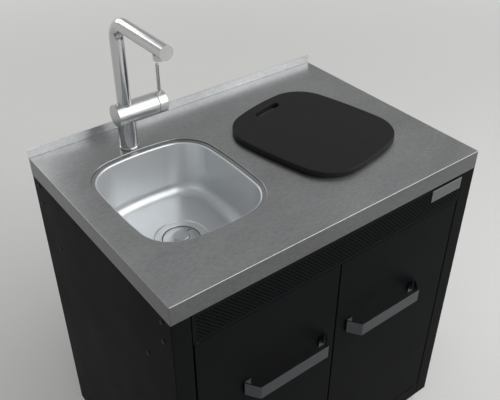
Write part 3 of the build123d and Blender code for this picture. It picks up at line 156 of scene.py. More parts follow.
class CabinetFinish(bpy.types.PropertyGroup):
    """Colours and texture of the coated and moulded pieces."""

    coating: colour_property("Coating", "Powder coat of the cabinet and doors", "#131415")
    peel: length_property("Coating texture", "Size of a grain in the powder coat", 1.6)
    board: colour_property("Board", "Chopping board", "#151516")
    moulded: colour_property("Moulded parts", "Feet, bushes, magnets and cartridge", "#1d1d1e")
    trap: colour_property("Trap", "Trap, its nuts and the drain's ring nut", "#dddcd6")
    screw: colour_property("Screws", "Blackened screws of the panels and handles", "#2a2a2b")


class VentSizes(bpy.types.PropertyGroup):
    """Sizes of the perforated sheet above the doors."""

    sheet: length_property("Sheet", "Thickness of the sheet", 1.5)
    hole_radius: length_property("Hole radius", "Radius of a hole", 2.0)
    column_pitch: length_property("Column pitch", "Distance between holes in a row", 9.6)
    row_pitch: length_property("Row pitch", "Distance between staggered rows", 4.8)
    side_margin: length_property("Side margin", "Plain sheet left at each end", 5.0)
    edge_margin: length_property("Edge margin", "Plain sheet left at the top and bottom", 4.0)


class FastenerSizes(bpy.types.PropertyGroup):
    """Sizes of the screw sockets and the threads of the feet."""

    socket: length_property("Socket", "Width across the flats of a screw's socket", 3.0)
    socket_depth: length_property("Socket depth", "Depth of a screw's socket", 1.5)
    thread_pitch: length_property("Thread pitch", "Rise of a foot's thread in one turn", 1.5)
    thread_depth: length_property("Thread depth", "Depth of a foot's thread", 0.7)


class StudioLook(bpy.types.PropertyGroup):
    """Floor and lights of the studio."""

    floor: colour_property("Floor", "Floor and backdrop", "#d2d2d0")
    surround: colour_property("Surround", "Even light from the walls above the horizon", "#b0b0b0")
    near: length_property("Near floor", "How far the floor is lit by the lamps alone", 1400.0)
    far: length_property("Far floor", "Where the floor has become an even backdrop", 4200.0)
    key: power_property("Front light", "Power of the soft box in front", 125.0)
    rear: power_property("Rear light", "Power of the soft box behind", 16.0)
    side: power_property("Left light", "Power of the soft box at the left", 1.5)


# Node and mesh helpers


def node(tree, kind, inputs=None, **settings):
    """Adds a node with its settings. An input is a value, a socket to link, a node whose first
    output is linked, or a list of these. A Mix node's inputs are 0 for the factor, 2 and 3 for
    numbers, 4 and 5 for vectors, and 6 and 7 for colours."""
    made = tree.nodes.new(kind)
    for name, value in settings.items():
        setattr(made, name, value)
    for name, value in (inputs or {}).items():
        for source in value if isinstance(value, list) else [value]:
            if isinstance(source, bpy.types.Node):
                source = source.outputs[0]
            if isinstance(source, bpy.types.NodeSocket):
                tree.links.new(source, made.inputs[name])
            else:
                made.inputs[name].default_value = source
    return made


def blank_material(name, metallic=0.0):
    """A new material, its tree, its shader and its object coordinates in millimetres."""
    material = bpy.data.materials.new(name)
    material.use_nodes = True
    tree = material.node_tree
    tree.nodes.clear()
    shader = node(tree, "ShaderNodeBsdfPrincipled", {"Metallic": metallic})
    node(tree, "ShaderNodeOutputMaterial", {"Surface": shader})
    place = node(tree, "ShaderNodeTexCoord").outputs["Object"]
    to_mm = (1 / MM,) * 3
    place = node(tree, "ShaderNodeVectorMath", {0: place, 1: to_mm}, operation="MULTIPLY")
    return material, tree, shader, place


def grains(tree, place, size, detail=2.0):
    """Noise whose grains have this size in millimetres, or one size for each axis."""
    sizes = size if isinstance(size, tuple) else (size,) * 3
    shrink = tuple(1 / s for s in sizes)
    place = node(tree, "ShaderNodeVectorMath", {0: place, 1: shrink}, operation="MULTIPLY")
    return node(
        tree,
        "ShaderNodeTexNoise",
        {"Vector": place, "Scale": 1.0, "Detail": detail, "Roughness": 0.55},
    )


def shaded(tree, shader, colour, pattern, swing, spread=NOISE_RANGE):
    """Gives the shader this colour or socket, darker and lighter by the swing where the pattern
    reaches the ends of its spread."""
    if not isinstance(colour, bpy.types.NodeSocket):
        colour = tuple(colour)
    amount = node(
        tree,
        "ShaderNodeMapRange",
        {
            "Value": pattern,
            "From Min": spread[0],
            "From Max": spread[1],
            "To Min": 1 - swing,
            "To Max": 1 + swing,
        },
    )
    tint = node(tree, "ShaderNodeVectorMath", {0: colour, "Scale": amount}, operation="SCALE")
    tree.links.new(tint.outputs[0], shader.inputs["Base Color"])


def dulled(tree, shader, pattern, smoothest, roughest, spread=NOISE_RANGE):
    """Makes the shader smoothest and roughest where the pattern reaches the ends of its spread."""
    amount = node(
        tree,
        "ShaderNodeMapRange",
        {
            "Value": pattern,
            "From Min": spread[0],
            "From Max": spread[1],
            "To Min": smoothest,
            "To Max": roughest,
        },
    )
    tree.links.new(amount.outputs[0], shader.inputs["Roughness"])


def relief(tree, shader, pattern, height):
    """Raises the surface by the pattern, to this height in millimetres."""
    bump = node(
        tree, "ShaderNodeBump", {"Height": pattern, "Strength": 1.0, "Distance": height * MM}
    )
    tree.links.new(bump.outputs[0], shader.inputs["Normal"])


def shared(name, make, *values):
    """The material of this name, made at its first use."""
    return bpy.data.materials.get(name) or make(*values)


def dress(material, *names):
    """Gives CAD nodes this material."""
    for name in names:
        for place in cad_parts[name].material_slots:
            place.material = material


def new_object(name, mesh):
    """Puts a mesh into the scene as an object at the origin."""
    made = bpy.data.objects.new(name, mesh)
    bpy.context.scene.collection.objects.link(made)
    return made


def merged_copy(name):
    """A bmesh of a CAD node's mesh with its doubles merged."""
    shape = bmesh.new()
    shape.from_mesh(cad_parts[name].data)
    bmesh.ops.remove_doubles(shape, verts=shape.verts, dist=0.001 * MM)
    return shape


def solids(name):
    """The lowest and highest corner of each separate solid in a CAD node."""
    shape = merged_copy(name)
    boxes = []
    waiting = set(shape.verts)
    while waiting:
        found = {waiting.pop()}
        frontier = list(found)
        while frontier:
            for link in frontier.pop().link_edges:
                for vertex in link.verts:
                    if vertex not in found:
                        found.add(vertex)
                        frontier.append(vertex)
        waiting -= found
        points = [v.co for v in found]
        low = Vector(min(p[i] for p in points) for i in range(3))
        high = Vector(max(p[i] for p in points) for i in range(3))
        boxes.append((low, high))
    shape.free()
    return sorted(boxes, key=lambda pair: tuple(round(x, 5) for x in pair[0]))


def lathe(shape, rings, segments=24):
    """Adds a closed turned body along Z. A ring is (radius, height), and has a third value of
    "hexagon" where the radius is the one to a hexagon's corners, for which 6 has to divide the
    number of segments."""
    loops = []
    for radius, height, *form in rings:
        if radius == 0:
            loops.append([shape.verts.new((0, 0, height))])
            continue
        loop = []
        for step in range(segments):
            turn = 2 * math.pi * step / segments
            reach = radius
            if form:
                side = turn % (math.pi / 3) - math.pi / 6
                reach = radius * math.cos(math.pi / 6) / math.cos(side)
            loop.append(shape.verts.new((reach * math.cos(turn), reach * math.sin(turn), height)))
        loops.append(loop)
    for below, above in zip(loops, loops[1:]):
        for step in range(segments):
            after = (step + 1) % segments
            if len(below) == 1:
                shape.faces.new((below[0], above[after], above[step]))
            elif len(above) == 1:
                shape.faces.new((below[step], below[after], above[0]))
            else:
                shape.faces.new((below[step], below[after], above[after], above[step]))


def smooth(mesh, sharp):
    """Shades a mesh smooth, except where it folds by more than the sharp angle in degrees."""
    mesh.polygons.foreach_set("use_smooth", [True] * len(mesh.polygons))
    mesh.set_sharp_from_angle(angle=math.radians(sharp))


def finished_mesh(name, shape, sharp=35.0):
    """Turns a bmesh into a smoothed mesh whose faces point outwards."""
    bmesh.ops.recalc_face_normals(shape, faces=shape.faces)
    mesh = bpy.data.meshes.new(name)
    shape.to_mesh(mesh)
    shape.free()
    smooth(mesh, sharp)
    return mesh


def new_tree(name, inputs):
    """A geometry tree with inputs of these names and kinds, and the sockets that give them."""
    tree = bpy.data.node_groups.new(name, "GeometryNodeTree")
    for title, kind in inputs.items():
        tree.interface.new_socket(name=title, in_out="INPUT", socket_type="NodeSocket" + kind)
    tree.interface.new_socket(
        name="Geometry", in_out="OUTPUT", socket_type="NodeSocketGeometry"
    )
    given = node(tree, "NodeGroupInput").outputs
    return tree, {title: given[title] for title in inputs}


def close_tree(tree, geometry, material):
    """Ends a geometry tree in real geometry with its material."""
    real = node(tree, "GeometryNodeRealizeInstances", {"Geometry": geometry})
    painted = node(tree, "GeometryNodeSetMaterial", {"Geometry": real, "Material": material})
    node(tree, "NodeGroupOutput", {"Geometry": painted})


def grown(name, tree, values, start=None, sharp=35.0):
    """Runs a geometry tree with these input values and keeps its result as a plain mesh."""
    holder = new_object(name, start or bpy.data.meshes.new(name))
    modifier = holder.modifiers.new(name, "NODES")
    modifier.node_group = tree
    for item in tree.interface.items_tree:
        if item.in_out == "INPUT" and item.name in values:
            modifier[item.identifier] = values[item.name]
    graph = bpy.context.evaluated_depsgraph_get()
    mesh = bpy.data.meshes.new_from_object(holder.evaluated_get(graph), depsgraph=graph)
    holder.modifiers.remove(modifier)
    holder.data = mesh
    smooth(mesh, sharp)
    return holder


# Materials


def brushed_worktop_sheet(finish):
    """Stainless sheet finished with short strokes of a sander that wandered over it: the eye
    sees patches of fine dashes along the sheet, some catching the light more than others.
    Real strokes are about 0.2 mm wide, and are drawn wider so that they show."""
    material, tree, shader, place = blank_material(
        "stainless_sheet_short_stroke_brushed", metallic=1.0
    )
    normal = node(tree, "ShaderNodeNewGeometry").outputs["Normal"]
    facing = node(tree, "ShaderNodeSeparateXYZ", {"Vector": normal}).outputs

    # Strokes run along the sheet, and so up and down where its two ends are folded over. A face
    # is an end when its normal points this far to the side.
    end_face = 0.7
    sideways = node(tree, "ShaderNodeMath", {0: facing["X"]}, operation="ABSOLUTE")
    sideways = node(tree, "ShaderNodeMath", {0: sideways, 1: end_face}, operation="GREATER_THAN")
    folded_over = node(
        tree,
        "ShaderNodeVectorRotate",
        {"Vector": place, "Axis": (0, 1, 0), "Angle": math.pi / 2},
    )
    laid = node(
        tree, "ShaderNodeMix", {0: sideways, 4: place, 5: folded_over}, data_type="VECTOR"
    ).outputs[1]

    # Each patch has its strokes turned a little its own way, in radians
    patch = finish.patch / MM
    most_turned = 0.2
    turn = node(
        tree, "ShaderNodeTexVoronoi", {"Vector": place, "Scale": 1 / patch}
    ).outputs["Color"]
    turn = node(tree, "ShaderNodeSeparateColor", {"Color": turn})
    turn = node(
        tree, "ShaderNodeMapRange", {"Value": turn, "To Min": -most_turned, "To Max": most_turned}
    )
    strokes_place = node(
        tree, "ShaderNodeVectorRotate", {"Vector": laid, "Axis": (0, 0, 1), "Angle": turn}
    )
    width = finish.stroke_width / MM
    strokes = grains(tree, strokes_place, (finish.stroke_length / MM, width, width), 1.0)

    # Clouds a few patches wide, where the sander was pressed harder or was newer
    clouds = grains(tree, laid, (9.0 * patch, 5.0 * patch, 5.0 * patch))
    share_of_clouds = 0.42
    both = node(
        tree, "ShaderNodeMix", {0: share_of_clouds, 2: strokes, 3: clouds}, data_type="FLOAT"
    )

    # The folded-down edges and the sheet turned up at the rear get colours of their own: a darker
    # one that is painted shade and a lighter one that is painted light, standing in for the dark
    # and bright reflections they show. They start this many millimetres below and above the top, on
    # which the board lies.
    start = 1.0
    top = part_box("cutting_board")[0].z / MM
    level = node(tree, "ShaderNodeSeparateXYZ", {"Vector": place}).outputs["Z"]
    below = node(tree, "ShaderNodeMath", {0: level, 1: top - start}, operation="LESS_THAN")
    # Mask of the painted light: faces above the top, the sheet turned up at the rear
    above = node(tree, "ShaderNodeMath", {0: level, 1: top + start}, operation="GREATER_THAN")
    upright = node(
        tree, "ShaderNodeMath", {0: facing["Z"], 1: 0.0, 2: 0.5}, operation="COMPARE"
    )
    # Mask of the painted shade: upright faces below the top
    folded = node(tree, "ShaderNodeMath", {0: below, 1: upright}, operation="MULTIPLY")
    own_and_painted_colour = (*finish.worktop, 1.0)
    # Mixes the painted shade and the painted light into the sheet's own colour
    for where, painted_colour in ((folded, finish.edge), (above, finish.upstand_painted_light)):
        own_and_painted_colour = node(
            tree, "ShaderNodeMix", {0: where, 6: own_and_painted_colour, 7: (*painted_colour, 1.0)}, data_type="RGBA"
        ).outputs[2]
    shaded(tree, shader, own_and_painted_colour, both, 0.24)
    dulled(tree, shader, clouds, 0.28, 0.34)

    # Highlights are drawn out across the strokes, on the top and on the folded edges alike
    shader.inputs["Anisotropic"].default_value = 0.5
    across = node(tree, "ShaderNodeCombineXYZ", {"X": 0.0, "Y": 1.0, "Z": 0.6})
    tree.links.new(across.outputs[0], shader.inputs["Tangent"])
    relief(tree, shader, strokes, 0.01)
    return material


def satin_bowl_sheet(finish):
    """Deep-drawn stainless sheet, blasted and lightly polished: broad soft reflections, with
    faint upright lines where the die pulled the walls. It is less than fully metallic, because
    the blasted skin also scatters light that shows no mirror image."""
    material, tree, shader, place = blank_material("stainless_sheet_drawn_satin", metallic=0.7)
    drawn = grains(tree, place, (7.0, 7.0, 160.0), 1.0)
    haze = grains(tree, place, 45.0)
    shaded(tree, shader, finish.bowl, drawn, 0.015)
    dulled(tree, shader, haze, 0.32, 0.37)
    return material


def tap_steel(name, finish, line, smoothest, roughest):
    """Stainless steel of the tap, with tool marks whose size along X, Y and Z is given in
    millimetres, under a faint haze of finger marks."""
    material, tree, shader, place = blank_material(name, metallic=1.0)
    lines = grains(tree, place, line)
    haze = grains(tree, place, 14.0)
    both = node(tree, "ShaderNodeMix", {0: 0.5, 2: lines, 3: haze}, data_type="FLOAT")
    shaded(tree, shader, finish.tap, both, 0.04)
    dulled(tree, shader, both, smoothest, roughest)
    return material


def polished_tube(finish):
    """Drawn tube polished with a soft wheel: sharp light and dark bands along its length."""
    return tap_steel("stainless_tube_polished", finish, (1.0, 1.0, 14.0), 0.16, 0.22)


def turned_bar(finish):
    """Bar that keeps the fine rings of the lathe, which spread a highlight wide."""
    return tap_steel(TURNED_STEEL, finish, (0.9, 12.0, 12.0), 0.29, 0.35)


def brushed_steel(name, colour, line):
    """Stainless steel brushed one way before it was folded or cut: long hairlines, whose size
    along X, Y and Z is given in millimetres."""
    material, tree, shader, place = blank_material(name, metallic=1.0)
    hairlines = grains(tree, place, line)
    cloudy = grains(tree, place, 18.0)
    both = node(tree, "ShaderNodeMix", {0: 0.4, 2: hairlines, 3: cloudy}, data_type="FLOAT")
    shaded(tree, shader, colour, both, 0.14)
    dulled(tree, shader, both, 0.26, 0.4)
    relief(tree, shader, hairlines, 0.01)
    return material


def powder_coat(finish):
    """Steel sheet sprayed with fine-textured polyester powder and baked: near black, with a close
    pebbled skin that breaks up every reflection. The pebbles are drawn coarser than real ones of
    about 0.3 mm, and the finest, which take away most of the gloss, are a low specular level."""
    material, tree, shader, place = blank_material("steel_powder_coated_fine_texture")
    pebbles = grains(tree, place, finish.peel / MM, 3.0)
    handled = grains(tree, place, 160.0, 3.0)
    shaded(tree, shader, finish.coating, pebbles, 0.12)
    dulled(tree, shader, handled, 0.4, 0.48)
    shader.inputs["Specular IOR Level"].default_value = 0.015
    relief(tree, shader, pebbles, 0.05)
    return material


def moulded_board(finish):
    """Polyethylene board pressed in a sand-blasted mould: dead black, with a fine dry grain that
    dims its gloss, and faint knife-worn patches."""
    material, tree, shader, place = blank_material("polyethylene_board_moulded")
    dry = grains(tree, place, 1.2, 3.0)
    worn = grains(tree, place, (90.0, 40.0, 40.0), 3.0)
    shaded(tree, shader, finish.board, worn, 0.08)
    dulled(tree, shader, worn, 0.55, 0.66)
    shader.inputs["Specular IOR Level"].default_value = 0.2
    relief(tree, shader, dry, 0.04)
    return material


def moulded_plastic(name, colour, roughness):
    """Injection-moulded plastic from a lightly eroded mould: an even, slightly waxy skin."""
    material, tree, shader, place = blank_material(name)
    skin = grains(tree, place, 0.8)
    flow = grains(tree, place, (30.0, 30.0, 12.0))
    shaded(tree, shader, colour, flow, 0.05)
    dulled(tree, shader, flow, roughness - 0.05, roughness + 0.05)
    relief(tree, shader, skin, 0.02)
    return material


def zinc_plate():
    """Steel pressings dipped in bright zinc: blue-grey, in small flakes that each reflect a
    little differently."""
    material, tree, shader, place = blank_material(ZINC_PLATE, metallic=1.0)
    flake = 5.0
    flakes = node(tree, "ShaderNodeTexVoronoi", {"Vector": place, "Scale": 1 / flake})
    flakes = node(tree, "ShaderNodeSeparateColor", {"Color": flakes.outputs["Color"]})
    shaded(tree, shader, linear("#a4a9ad"), flakes, 0.1, CELL_RANGE)
    dulled(tree, shader, flakes, 0.3, 0.44, CELL_RANGE)
    relief(tree, shader, grains(tree, place, 1.0), 0.008)
    return material


def turned_brass():
    """Brass bar turned on a lathe: warm yellow with fine rings left by the tool."""
    material, tree, shader, place = blank_material("brass_turned", metallic=1.0)
    rings = grains(tree, place, (20.0, 20.0, 0.6))
    shaded(tree, shader, linear("#c9a55c"), rings, 0.08)
    dulled(tree, shader, rings, 0.22, 0.34)
    relief(tree, shader, rings, 0.01)
    return material


def moulded_rubber():
    """Black rubber pressed in a steel mould: matt, faintly grey where it has bloomed."""
    material, tree, shader, place = blank_material("rubber_moulded")
    bloom = grains(tree, place, 9.0, 3.0)
    shaded(tree, shader, linear("#1f1f1f"), bloom, 0.2)
    dulled(tree, shader, bloom, 0.7, 0.85)
    relief(tree, shader, grains(tree, place, 0.7), 0.02)
    return material


def blackened_screw(finish):
    """Steel screws blackened in hot salts: dark metal with a dull oily gloss on the edges. The
    oxide over the steel makes it less than fully metallic."""
    material, tree, shader, place = blank_material(BLACK_OXIDE, metallic=0.7)
    oxide = grains(tree, place, 1.2, 3.0)
    shaded(tree, shader, finish.screw, oxide, 0.2)
    dulled(tree, shader, oxide, 0.32, 0.5)
    relief(tree, shader, oxide, 0.01)
    return material


def floor_paint(look):
    """Boards rolled with matt emulsion: even and pale, with hardly any sheen. Far from the object
    the eye and every mirror see the colour as it is written, so that no side has a dark
    backdrop, and the floor lights nothing by it."""
    material, tree, shader, place = blank_material("studio_floor_matt_paint")
    soft = grains(tree, place, 700.0)
    shaded(tree, shader, look.floor, soft, 0.012)
    shader.inputs["Roughness"].default_value = 0.9
    shader.inputs["Specular IOR Level"].default_value = 0.1
    distance = node(tree, "ShaderNodeVectorMath", {0: place}, operation="LENGTH").outputs["Value"]
    far = node(
        tree,
        "ShaderNodeMapRange",
        {"Value": distance, "From Min": look.near / MM, "From Max": look.far / MM},
    )
    ray = node(tree, "ShaderNodeLightPath").outputs
    seen = ray["Is Camera Ray"]
    for way in ("Is Glossy Ray", "Is Transmission Ray"):
        seen = node(tree, "ShaderNodeMath", {0: seen, 1: ray[way]}, operation="MAXIMUM")
    even = node(tree, "ShaderNodeMath", {0: far, 1: seen}, operation="MULTIPLY")
    backdrop = node(tree, "ShaderNodeEmission", {"Color": (*look.floor, 1.0)})
    painted = node(tree, "ShaderNodeMixShader", {0: even, 1: shader, 2: backdrop})
    surface = next(item for item in tree.nodes if item.type == "OUTPUT_MATERIAL")
    tree.links.new(painted.outputs[0], surface.inputs["Surface"])
    return material


def painted_walls(look):
    """A world of pale walls that light the object evenly. They start in the floor's colour, so
    that no line shows at the horizon, and end in their own where a direction's Z is high."""
    world = bpy.data.worlds.new("studio_surround")
    world.use_nodes = True
    tree = world.node_tree
    tree.nodes.clear()
    horizon, high = 0.02, 0.4
    direction = node(tree, "ShaderNodeTexCoord").outputs["Generated"]
    height = node(tree, "ShaderNodeSeparateXYZ", {"Vector": direction}).outputs["Z"]
    rise = node(
        tree, "ShaderNodeMapRange", {"Value": height, "From Min": horizon, "From Max": high}
    )
    wall = node(
        tree,
        "ShaderNodeMix",
        {0: rise, 6: (*look.floor, 1.0), 7: (*look.surround, 1.0)},
        data_type="RGBA",
    ).outputs[2]
    walls = node(tree, "ShaderNodeBackground", {"Color": wall})
    node(tree, "ShaderNodeOutputWorld", {"Surface": walls})
    return world


# Pieces


def pan_head(fasteners, radius, height, reach, shank, nut=None):
    """Mesh of a pan-head screw along Z, its head's underside at the origin: a domed head with a
    hexagonal socket, and a nut, given as (radius, near end, far end), if it has one."""
    shape = bmesh.new()
    corner = fasteners.socket / math.sqrt(3)
    mouth = 1.12 * corner
    mouth_floor = 0.94 * height
    socket_floor = height - fasteners.socket_depth
    drill_point = height - 1.15 * fasteners.socket_depth
    lathe(
        shape,
        [
            (0, -reach),
            (shank, -reach),
            (shank, 0),
            *((across * radius, up * height) for across, up in PAN_HEAD),
            (mouth, height),
            (corner, mouth_floor, "hexagon"),
            (corner, socket_floor, "hexagon"),
            (0, drill_point),
        ],
    )
    if nut:
        nut_corner, near, far = nut
        face = 0.92 * nut_corner
        bevel = 0.15 * (far - near)
        lathe(
            shape,
            [
                (0, -far),
                (face, -far),
                (nut_corner, bevel - far, "hexagon"),
                (nut_corner, -near, "hexagon"),
                (0, -near),
            ],
        )
    return finished_mesh("pan_head", shape, sharp=50.0)


def screw_tree():
    """Geometry tree that puts a screw on each point, turned to point the way it is driven."""
    tree, given = new_tree(
        "screws_on_points", {"Points": "Geometry", "Screw": "Object", "Material": "Material"}
    )
    screw = node(tree, "GeometryNodeObjectInfo", {"Object": given["Screw"]})
    turn = node(
        tree, "GeometryNodeInputNamedAttribute", {"Name": "turn"}, data_type="FLOAT_VECTOR"
    )
    placed = node(
        tree,
        "GeometryNodeInstanceOnPoints",
        {
            "Points": given["Points"],
            "Instance": screw.outputs["Geometry"],
            "Rotation": turn.outputs["Attribute"],
        },
    )
    close_tree(tree, placed, given["Material"])
    return tree


def driven_screws(node_name, screw_mesh, places, material, body):
    """Screws at these places, each (point, turn), in place of a CAD node of plain ones."""
    name = node_name + "_socketed"
    start = bpy.data.meshes.new(name)
    start.from_pydata([point for point, turn in places], [], [])
    turns = start.attributes.new("turn", "FLOAT_VECTOR", "POINT")
    for item, (point, turn) in zip(turns.data, places):
        item.vector = turn
    pattern = new_object(name + "_pattern", screw_mesh)
    values = {"Screw": pattern, "Material": material}
    screws = grown(name, screw_tree(), values, start, sharp=50.0)
    bpy.data.objects.remove(pattern)
    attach(screws, body)
    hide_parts(node_name)


def perforated_tree():
    """Geometry tree of a flat sheet in X and Y, pierced with staggered round holes. They lie on
    two lattices, and each hole of the second fills a gap of the first."""
    sizes = (
        "Width", "Height", "Sheet", "Hole Radius",
        "Column Pitch", "Row Pitch", "Side Margin", "Edge Margin",
    )
    tree, given = new_tree(
        "staggered_perforation", {**dict.fromkeys(sizes, "Float"), "Material": "Material"}
    )
    hole = node(
        tree, "GeometryNodeCurvePrimitiveCircle", {"Resolution": 12, "Radius": given["Hole Radius"]}
    )

    # How many pitches fit between the margins, across and up
    counts = []
    for length, margin, pitch in (
        ("Width", "Side Margin", "Column Pitch"),
        ("Height", "Edge Margin", "Row Pitch"),
    ):
        plain = node(
            tree, "ShaderNodeMath", {0: given[margin], 1: given["Hole Radius"]}, operation="ADD"
        )
        plain = node(tree, "ShaderNodeMath", {0: plain, 1: 2.0}, operation="MULTIPLY")
        room = node(tree, "ShaderNodeMath", {0: given[length], 1: plain}, operation="SUBTRACT")
        room = node(tree, "ShaderNodeMath", {0: room, 1: given[pitch]}, operation="DIVIDE")
        counts.append(node(tree, "ShaderNodeMath", {0: room}, operation="FLOOR"))
    columns, rows = counts
    pairs = node(tree, "ShaderNodeMath", {0: rows, 1: 2.0}, operation="DIVIDE")
    pairs = node(tree, "ShaderNodeMath", {0: pairs}, operation="FLOOR")
    pair_pitch = node(
        tree, "ShaderNodeMath", {0: given["Row Pitch"], 1: 2.0}, operation="MULTIPLY"
    )

    outlines = [
        node(
            tree,
            "GeometryNodeCurvePrimitiveQuadrilateral",
            {"Width": given["Width"], "Height": given["Height"]},
        )
    ]
    for fewer in (0.0, 1.0):
        sides = {}
        for axis, count, pitch in (
            ("X", columns, given["Column Pitch"]),
            ("Y", pairs, pair_pitch),
        ):
            gaps = node(tree, "ShaderNodeMath", {0: count, 1: fewer}, operation="SUBTRACT")
            span = node(tree, "ShaderNodeMath", {0: gaps, 1: pitch}, operation="MULTIPLY")
            holes = node(tree, "ShaderNodeMath", {0: gaps, 1: 1.0}, operation="ADD")
            sides |= {"Size " + axis: span, "Vertices " + axis: holes}
        lattice = node(tree, "GeometryNodeMeshGrid", sides)
        outlines.append(
            node(tree, "GeometryNodeInstanceOnPoints", {"Points": lattice, "Instance": hole})
        )
    joined = node(tree, "GeometryNodeJoinGeometry", {"Geometry": outlines})
    curves = node(tree, "GeometryNodeRealizeInstances", {"Geometry": joined})
    face = node(tree, "GeometryNodeFillCurve", {"Curve": curves}, mode="TRIANGLES")
    raised = node(
        tree,
        "GeometryNodeExtrudeMesh",
        {"Mesh": face, "Offset Scale": given["Sheet"], "Individual": False},
    )
    under = node(tree, "GeometryNodeFlipFaces", {"Mesh": face})
    sheet = node(tree, "GeometryNodeJoinGeometry", {"Geometry": [raised, under]})
    closed = node(
        tree, "GeometryNodeMergeByDistance", {"Geometry": sheet, "Distance": 0.01 * MM}
    )
    close_tree(tree, closed, given["Material"])
    return tree


def perforated_panel(sizes, material):
    """The vent panel: the flanges behind the folded sheet as they are, and a perforated skin in
    front of them."""
    low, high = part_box("vent_panel")
    back = low.y + sizes.sheet
    shape = merged_copy("vent_panel")
    cut = bmesh.ops.bisect_plane(
        shape,
        geom=shape.verts[:] + shape.edges[:] + shape.faces[:],
        plane_co=(0, back, 0),
        plane_no=(0, -1, 0),
        clear_outer=True,
    )
    rim = [part for part in cut["geom_cut"] if isinstance(part, bmesh.types.BMEdge)]
    bmesh.ops.triangle_fill(shape, edges=rim, normal=(0, -1, 0))
    values = {
        "Width": high.x - low.x,
        "Height": high.z - low.z,
        "Sheet": sizes.sheet,
        "Hole Radius": sizes.hole_radius,
        "Column Pitch": sizes.column_pitch,
        "Row Pitch": sizes.row_pitch,
        "Side Margin": sizes.side_margin,
        "Edge Margin": sizes.edge_margin,
        "Material": material,
    }
    panel = grown("vent_panel_perforated", perforated_tree(), values)
    place = Matrix.Translation(((low.x + high.x) / 2, back, (low.z + high.z) / 2))
    panel.data.transform(place @ Matrix.Rotation(math.pi / 2, 4, "X"))
    shape.from_mesh(panel.data)
    panel.data = finished_mesh("vent_panel_perforated", shape)
    panel.data.materials.append(material)
    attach(panel, "cabinet")
    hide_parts("vent_panel")


def thread_tree():
    """Geometry tree of a threaded stud along Z that starts at the origin: a core, and a ridge
    wound round it that stands out by its depth."""
    sizes = ("Radius", "Length", "Pitch", "Depth")
    tree, given = new_tree(
        "threaded_stud", {**dict.fromkeys(sizes, "Float"), "Material": "Material"}
    )
    core_radius = node(
        tree, "ShaderNodeMath", {0: given["Radius"], 1: given["Depth"]}, operation="SUBTRACT"
    )
    core = node(
        tree,
        "GeometryNodeMeshCylinder",
        {"Vertices": 24, "Radius": core_radius, "Depth": given["Length"]},
        fill_type="TRIANGLE_FAN",
    )
    half = node(tree, "ShaderNodeMath", {0: given["Length"], 1: 0.5}, operation="MULTIPLY")
    half = node(tree, "ShaderNodeCombineXYZ", {"Z": half})
    core = node(tree, "GeometryNodeTransform", {"Geometry": core, "Translation": half})
    rise = node(
        tree, "ShaderNodeMath", {0: given["Length"], 1: given["Pitch"]}, operation="SUBTRACT"
    )
    turns = node(tree, "ShaderNodeMath", {0: rise, 1: given["Pitch"]}, operation="DIVIDE")
    path = node(
        tree,
        "GeometryNodeCurveSpiral",
        {
            "Resolution": 18,
            "Rotations": turns,
            "Start Radius": core_radius,
            "End Radius": core_radius,
            "Height": rise,
        },
    )
    lift = node(tree, "ShaderNodeMath", {0: given["Pitch"], 1: 0.5}, operation="MULTIPLY")
    lift = node(tree, "ShaderNodeCombineXYZ", {"Z": lift})
    path = node(tree, "GeometryNodeTransform", {"Geometry": path, "Translation": lift})
    path = node(tree, "GeometryNodeSetCurveNormal", {"Curve": path}, mode="Z_UP")
    ridge = node(
        tree, "GeometryNodeCurvePrimitiveCircle", {"Resolution": 4, "Radius": given["Depth"]}
    )
    ridge = node(
        tree, "GeometryNodeCurveToMesh", {"Curve": path, "Profile Curve": ridge, "Fill Caps": True}
    )
    both = node(tree, "GeometryNodeJoinGeometry", {"Geometry": [core, ridge]})
    close_tree(tree, both, given["Material"])
    return tree


def levelling_foot(word, fasteners, pad_material, stud_material):
    """A foot in place of its plain solid: a moulded pad with a rounded skirt, and a threaded stud
    with its spanner hexagon."""
    node_name = "foot_" + word
    low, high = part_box(node_name)
    middle = Matrix.Translation(((low.x + high.x) / 2, (low.y + high.y) / 2, low.z))
    pad_radius = (high.x - low.x) / 2
    pad_height = 12 * MM
    nut_height = 8 * MM
    nut_radius = 8 * MM
    nut_bevel = 0.8 * MM
    nut_seat = 0.9 * nut_radius
    nut_face = 0.88 * nut_radius
    stud_radius = 5 * MM
    hollow = PAD_SKIRT[0][1] * MM
    shape = bmesh.new()
    lathe(
        shape,
        [
            (0, hollow),
            *((pad_radius - inset * MM, up * MM) for inset, up in PAD_SKIRT),
            *((across * pad_radius, up * pad_height) for across, up in PAD_CROWN),
            (0, pad_height),
        ],
        segments=48,
    )
    pad = new_object(node_name + "_pad", finished_mesh(node_name + "_pad", shape, sharp=50.0))
    pad.data.transform(middle)
    pad.data.materials.append(pad_material)

    nut_top = pad_height + nut_height
    values = {
        "Radius": stud_radius,
        "Length": high.z - low.z - nut_top,
        "Pitch": fasteners.thread_pitch,
        "Depth": fasteners.thread_depth,
        "Material": stud_material,
    }
    stud = grown(node_name + "_stud", thread_tree(), values, sharp=40.0)
    shape = bmesh.new()
    shape.from_mesh(stud.data)
    bmesh.ops.translate(shape, verts=shape.verts, vec=(0, 0, nut_top))
    lathe(
        shape,
        [
            (0, pad_height),
            (nut_seat, pad_height),
            (nut_radius, pad_height + nut_bevel, "hexagon"),
            (nut_radius, nut_top - nut_bevel, "hexagon"),
            (nut_face, nut_top),
            (0, nut_top),
        ],
    )
    stud.data = finished_mesh(node_name + "_stud", shape, sharp=40.0)
    stud.data.transform(middle)
    stud.data.materials.append(stud_material)
    for piece, slot in ((pad, "black_plastic"), (stud, "zinc_steel")):
        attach(piece, node_name)
    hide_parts(node_name)


# Operators, one for each piece or group of like pieces


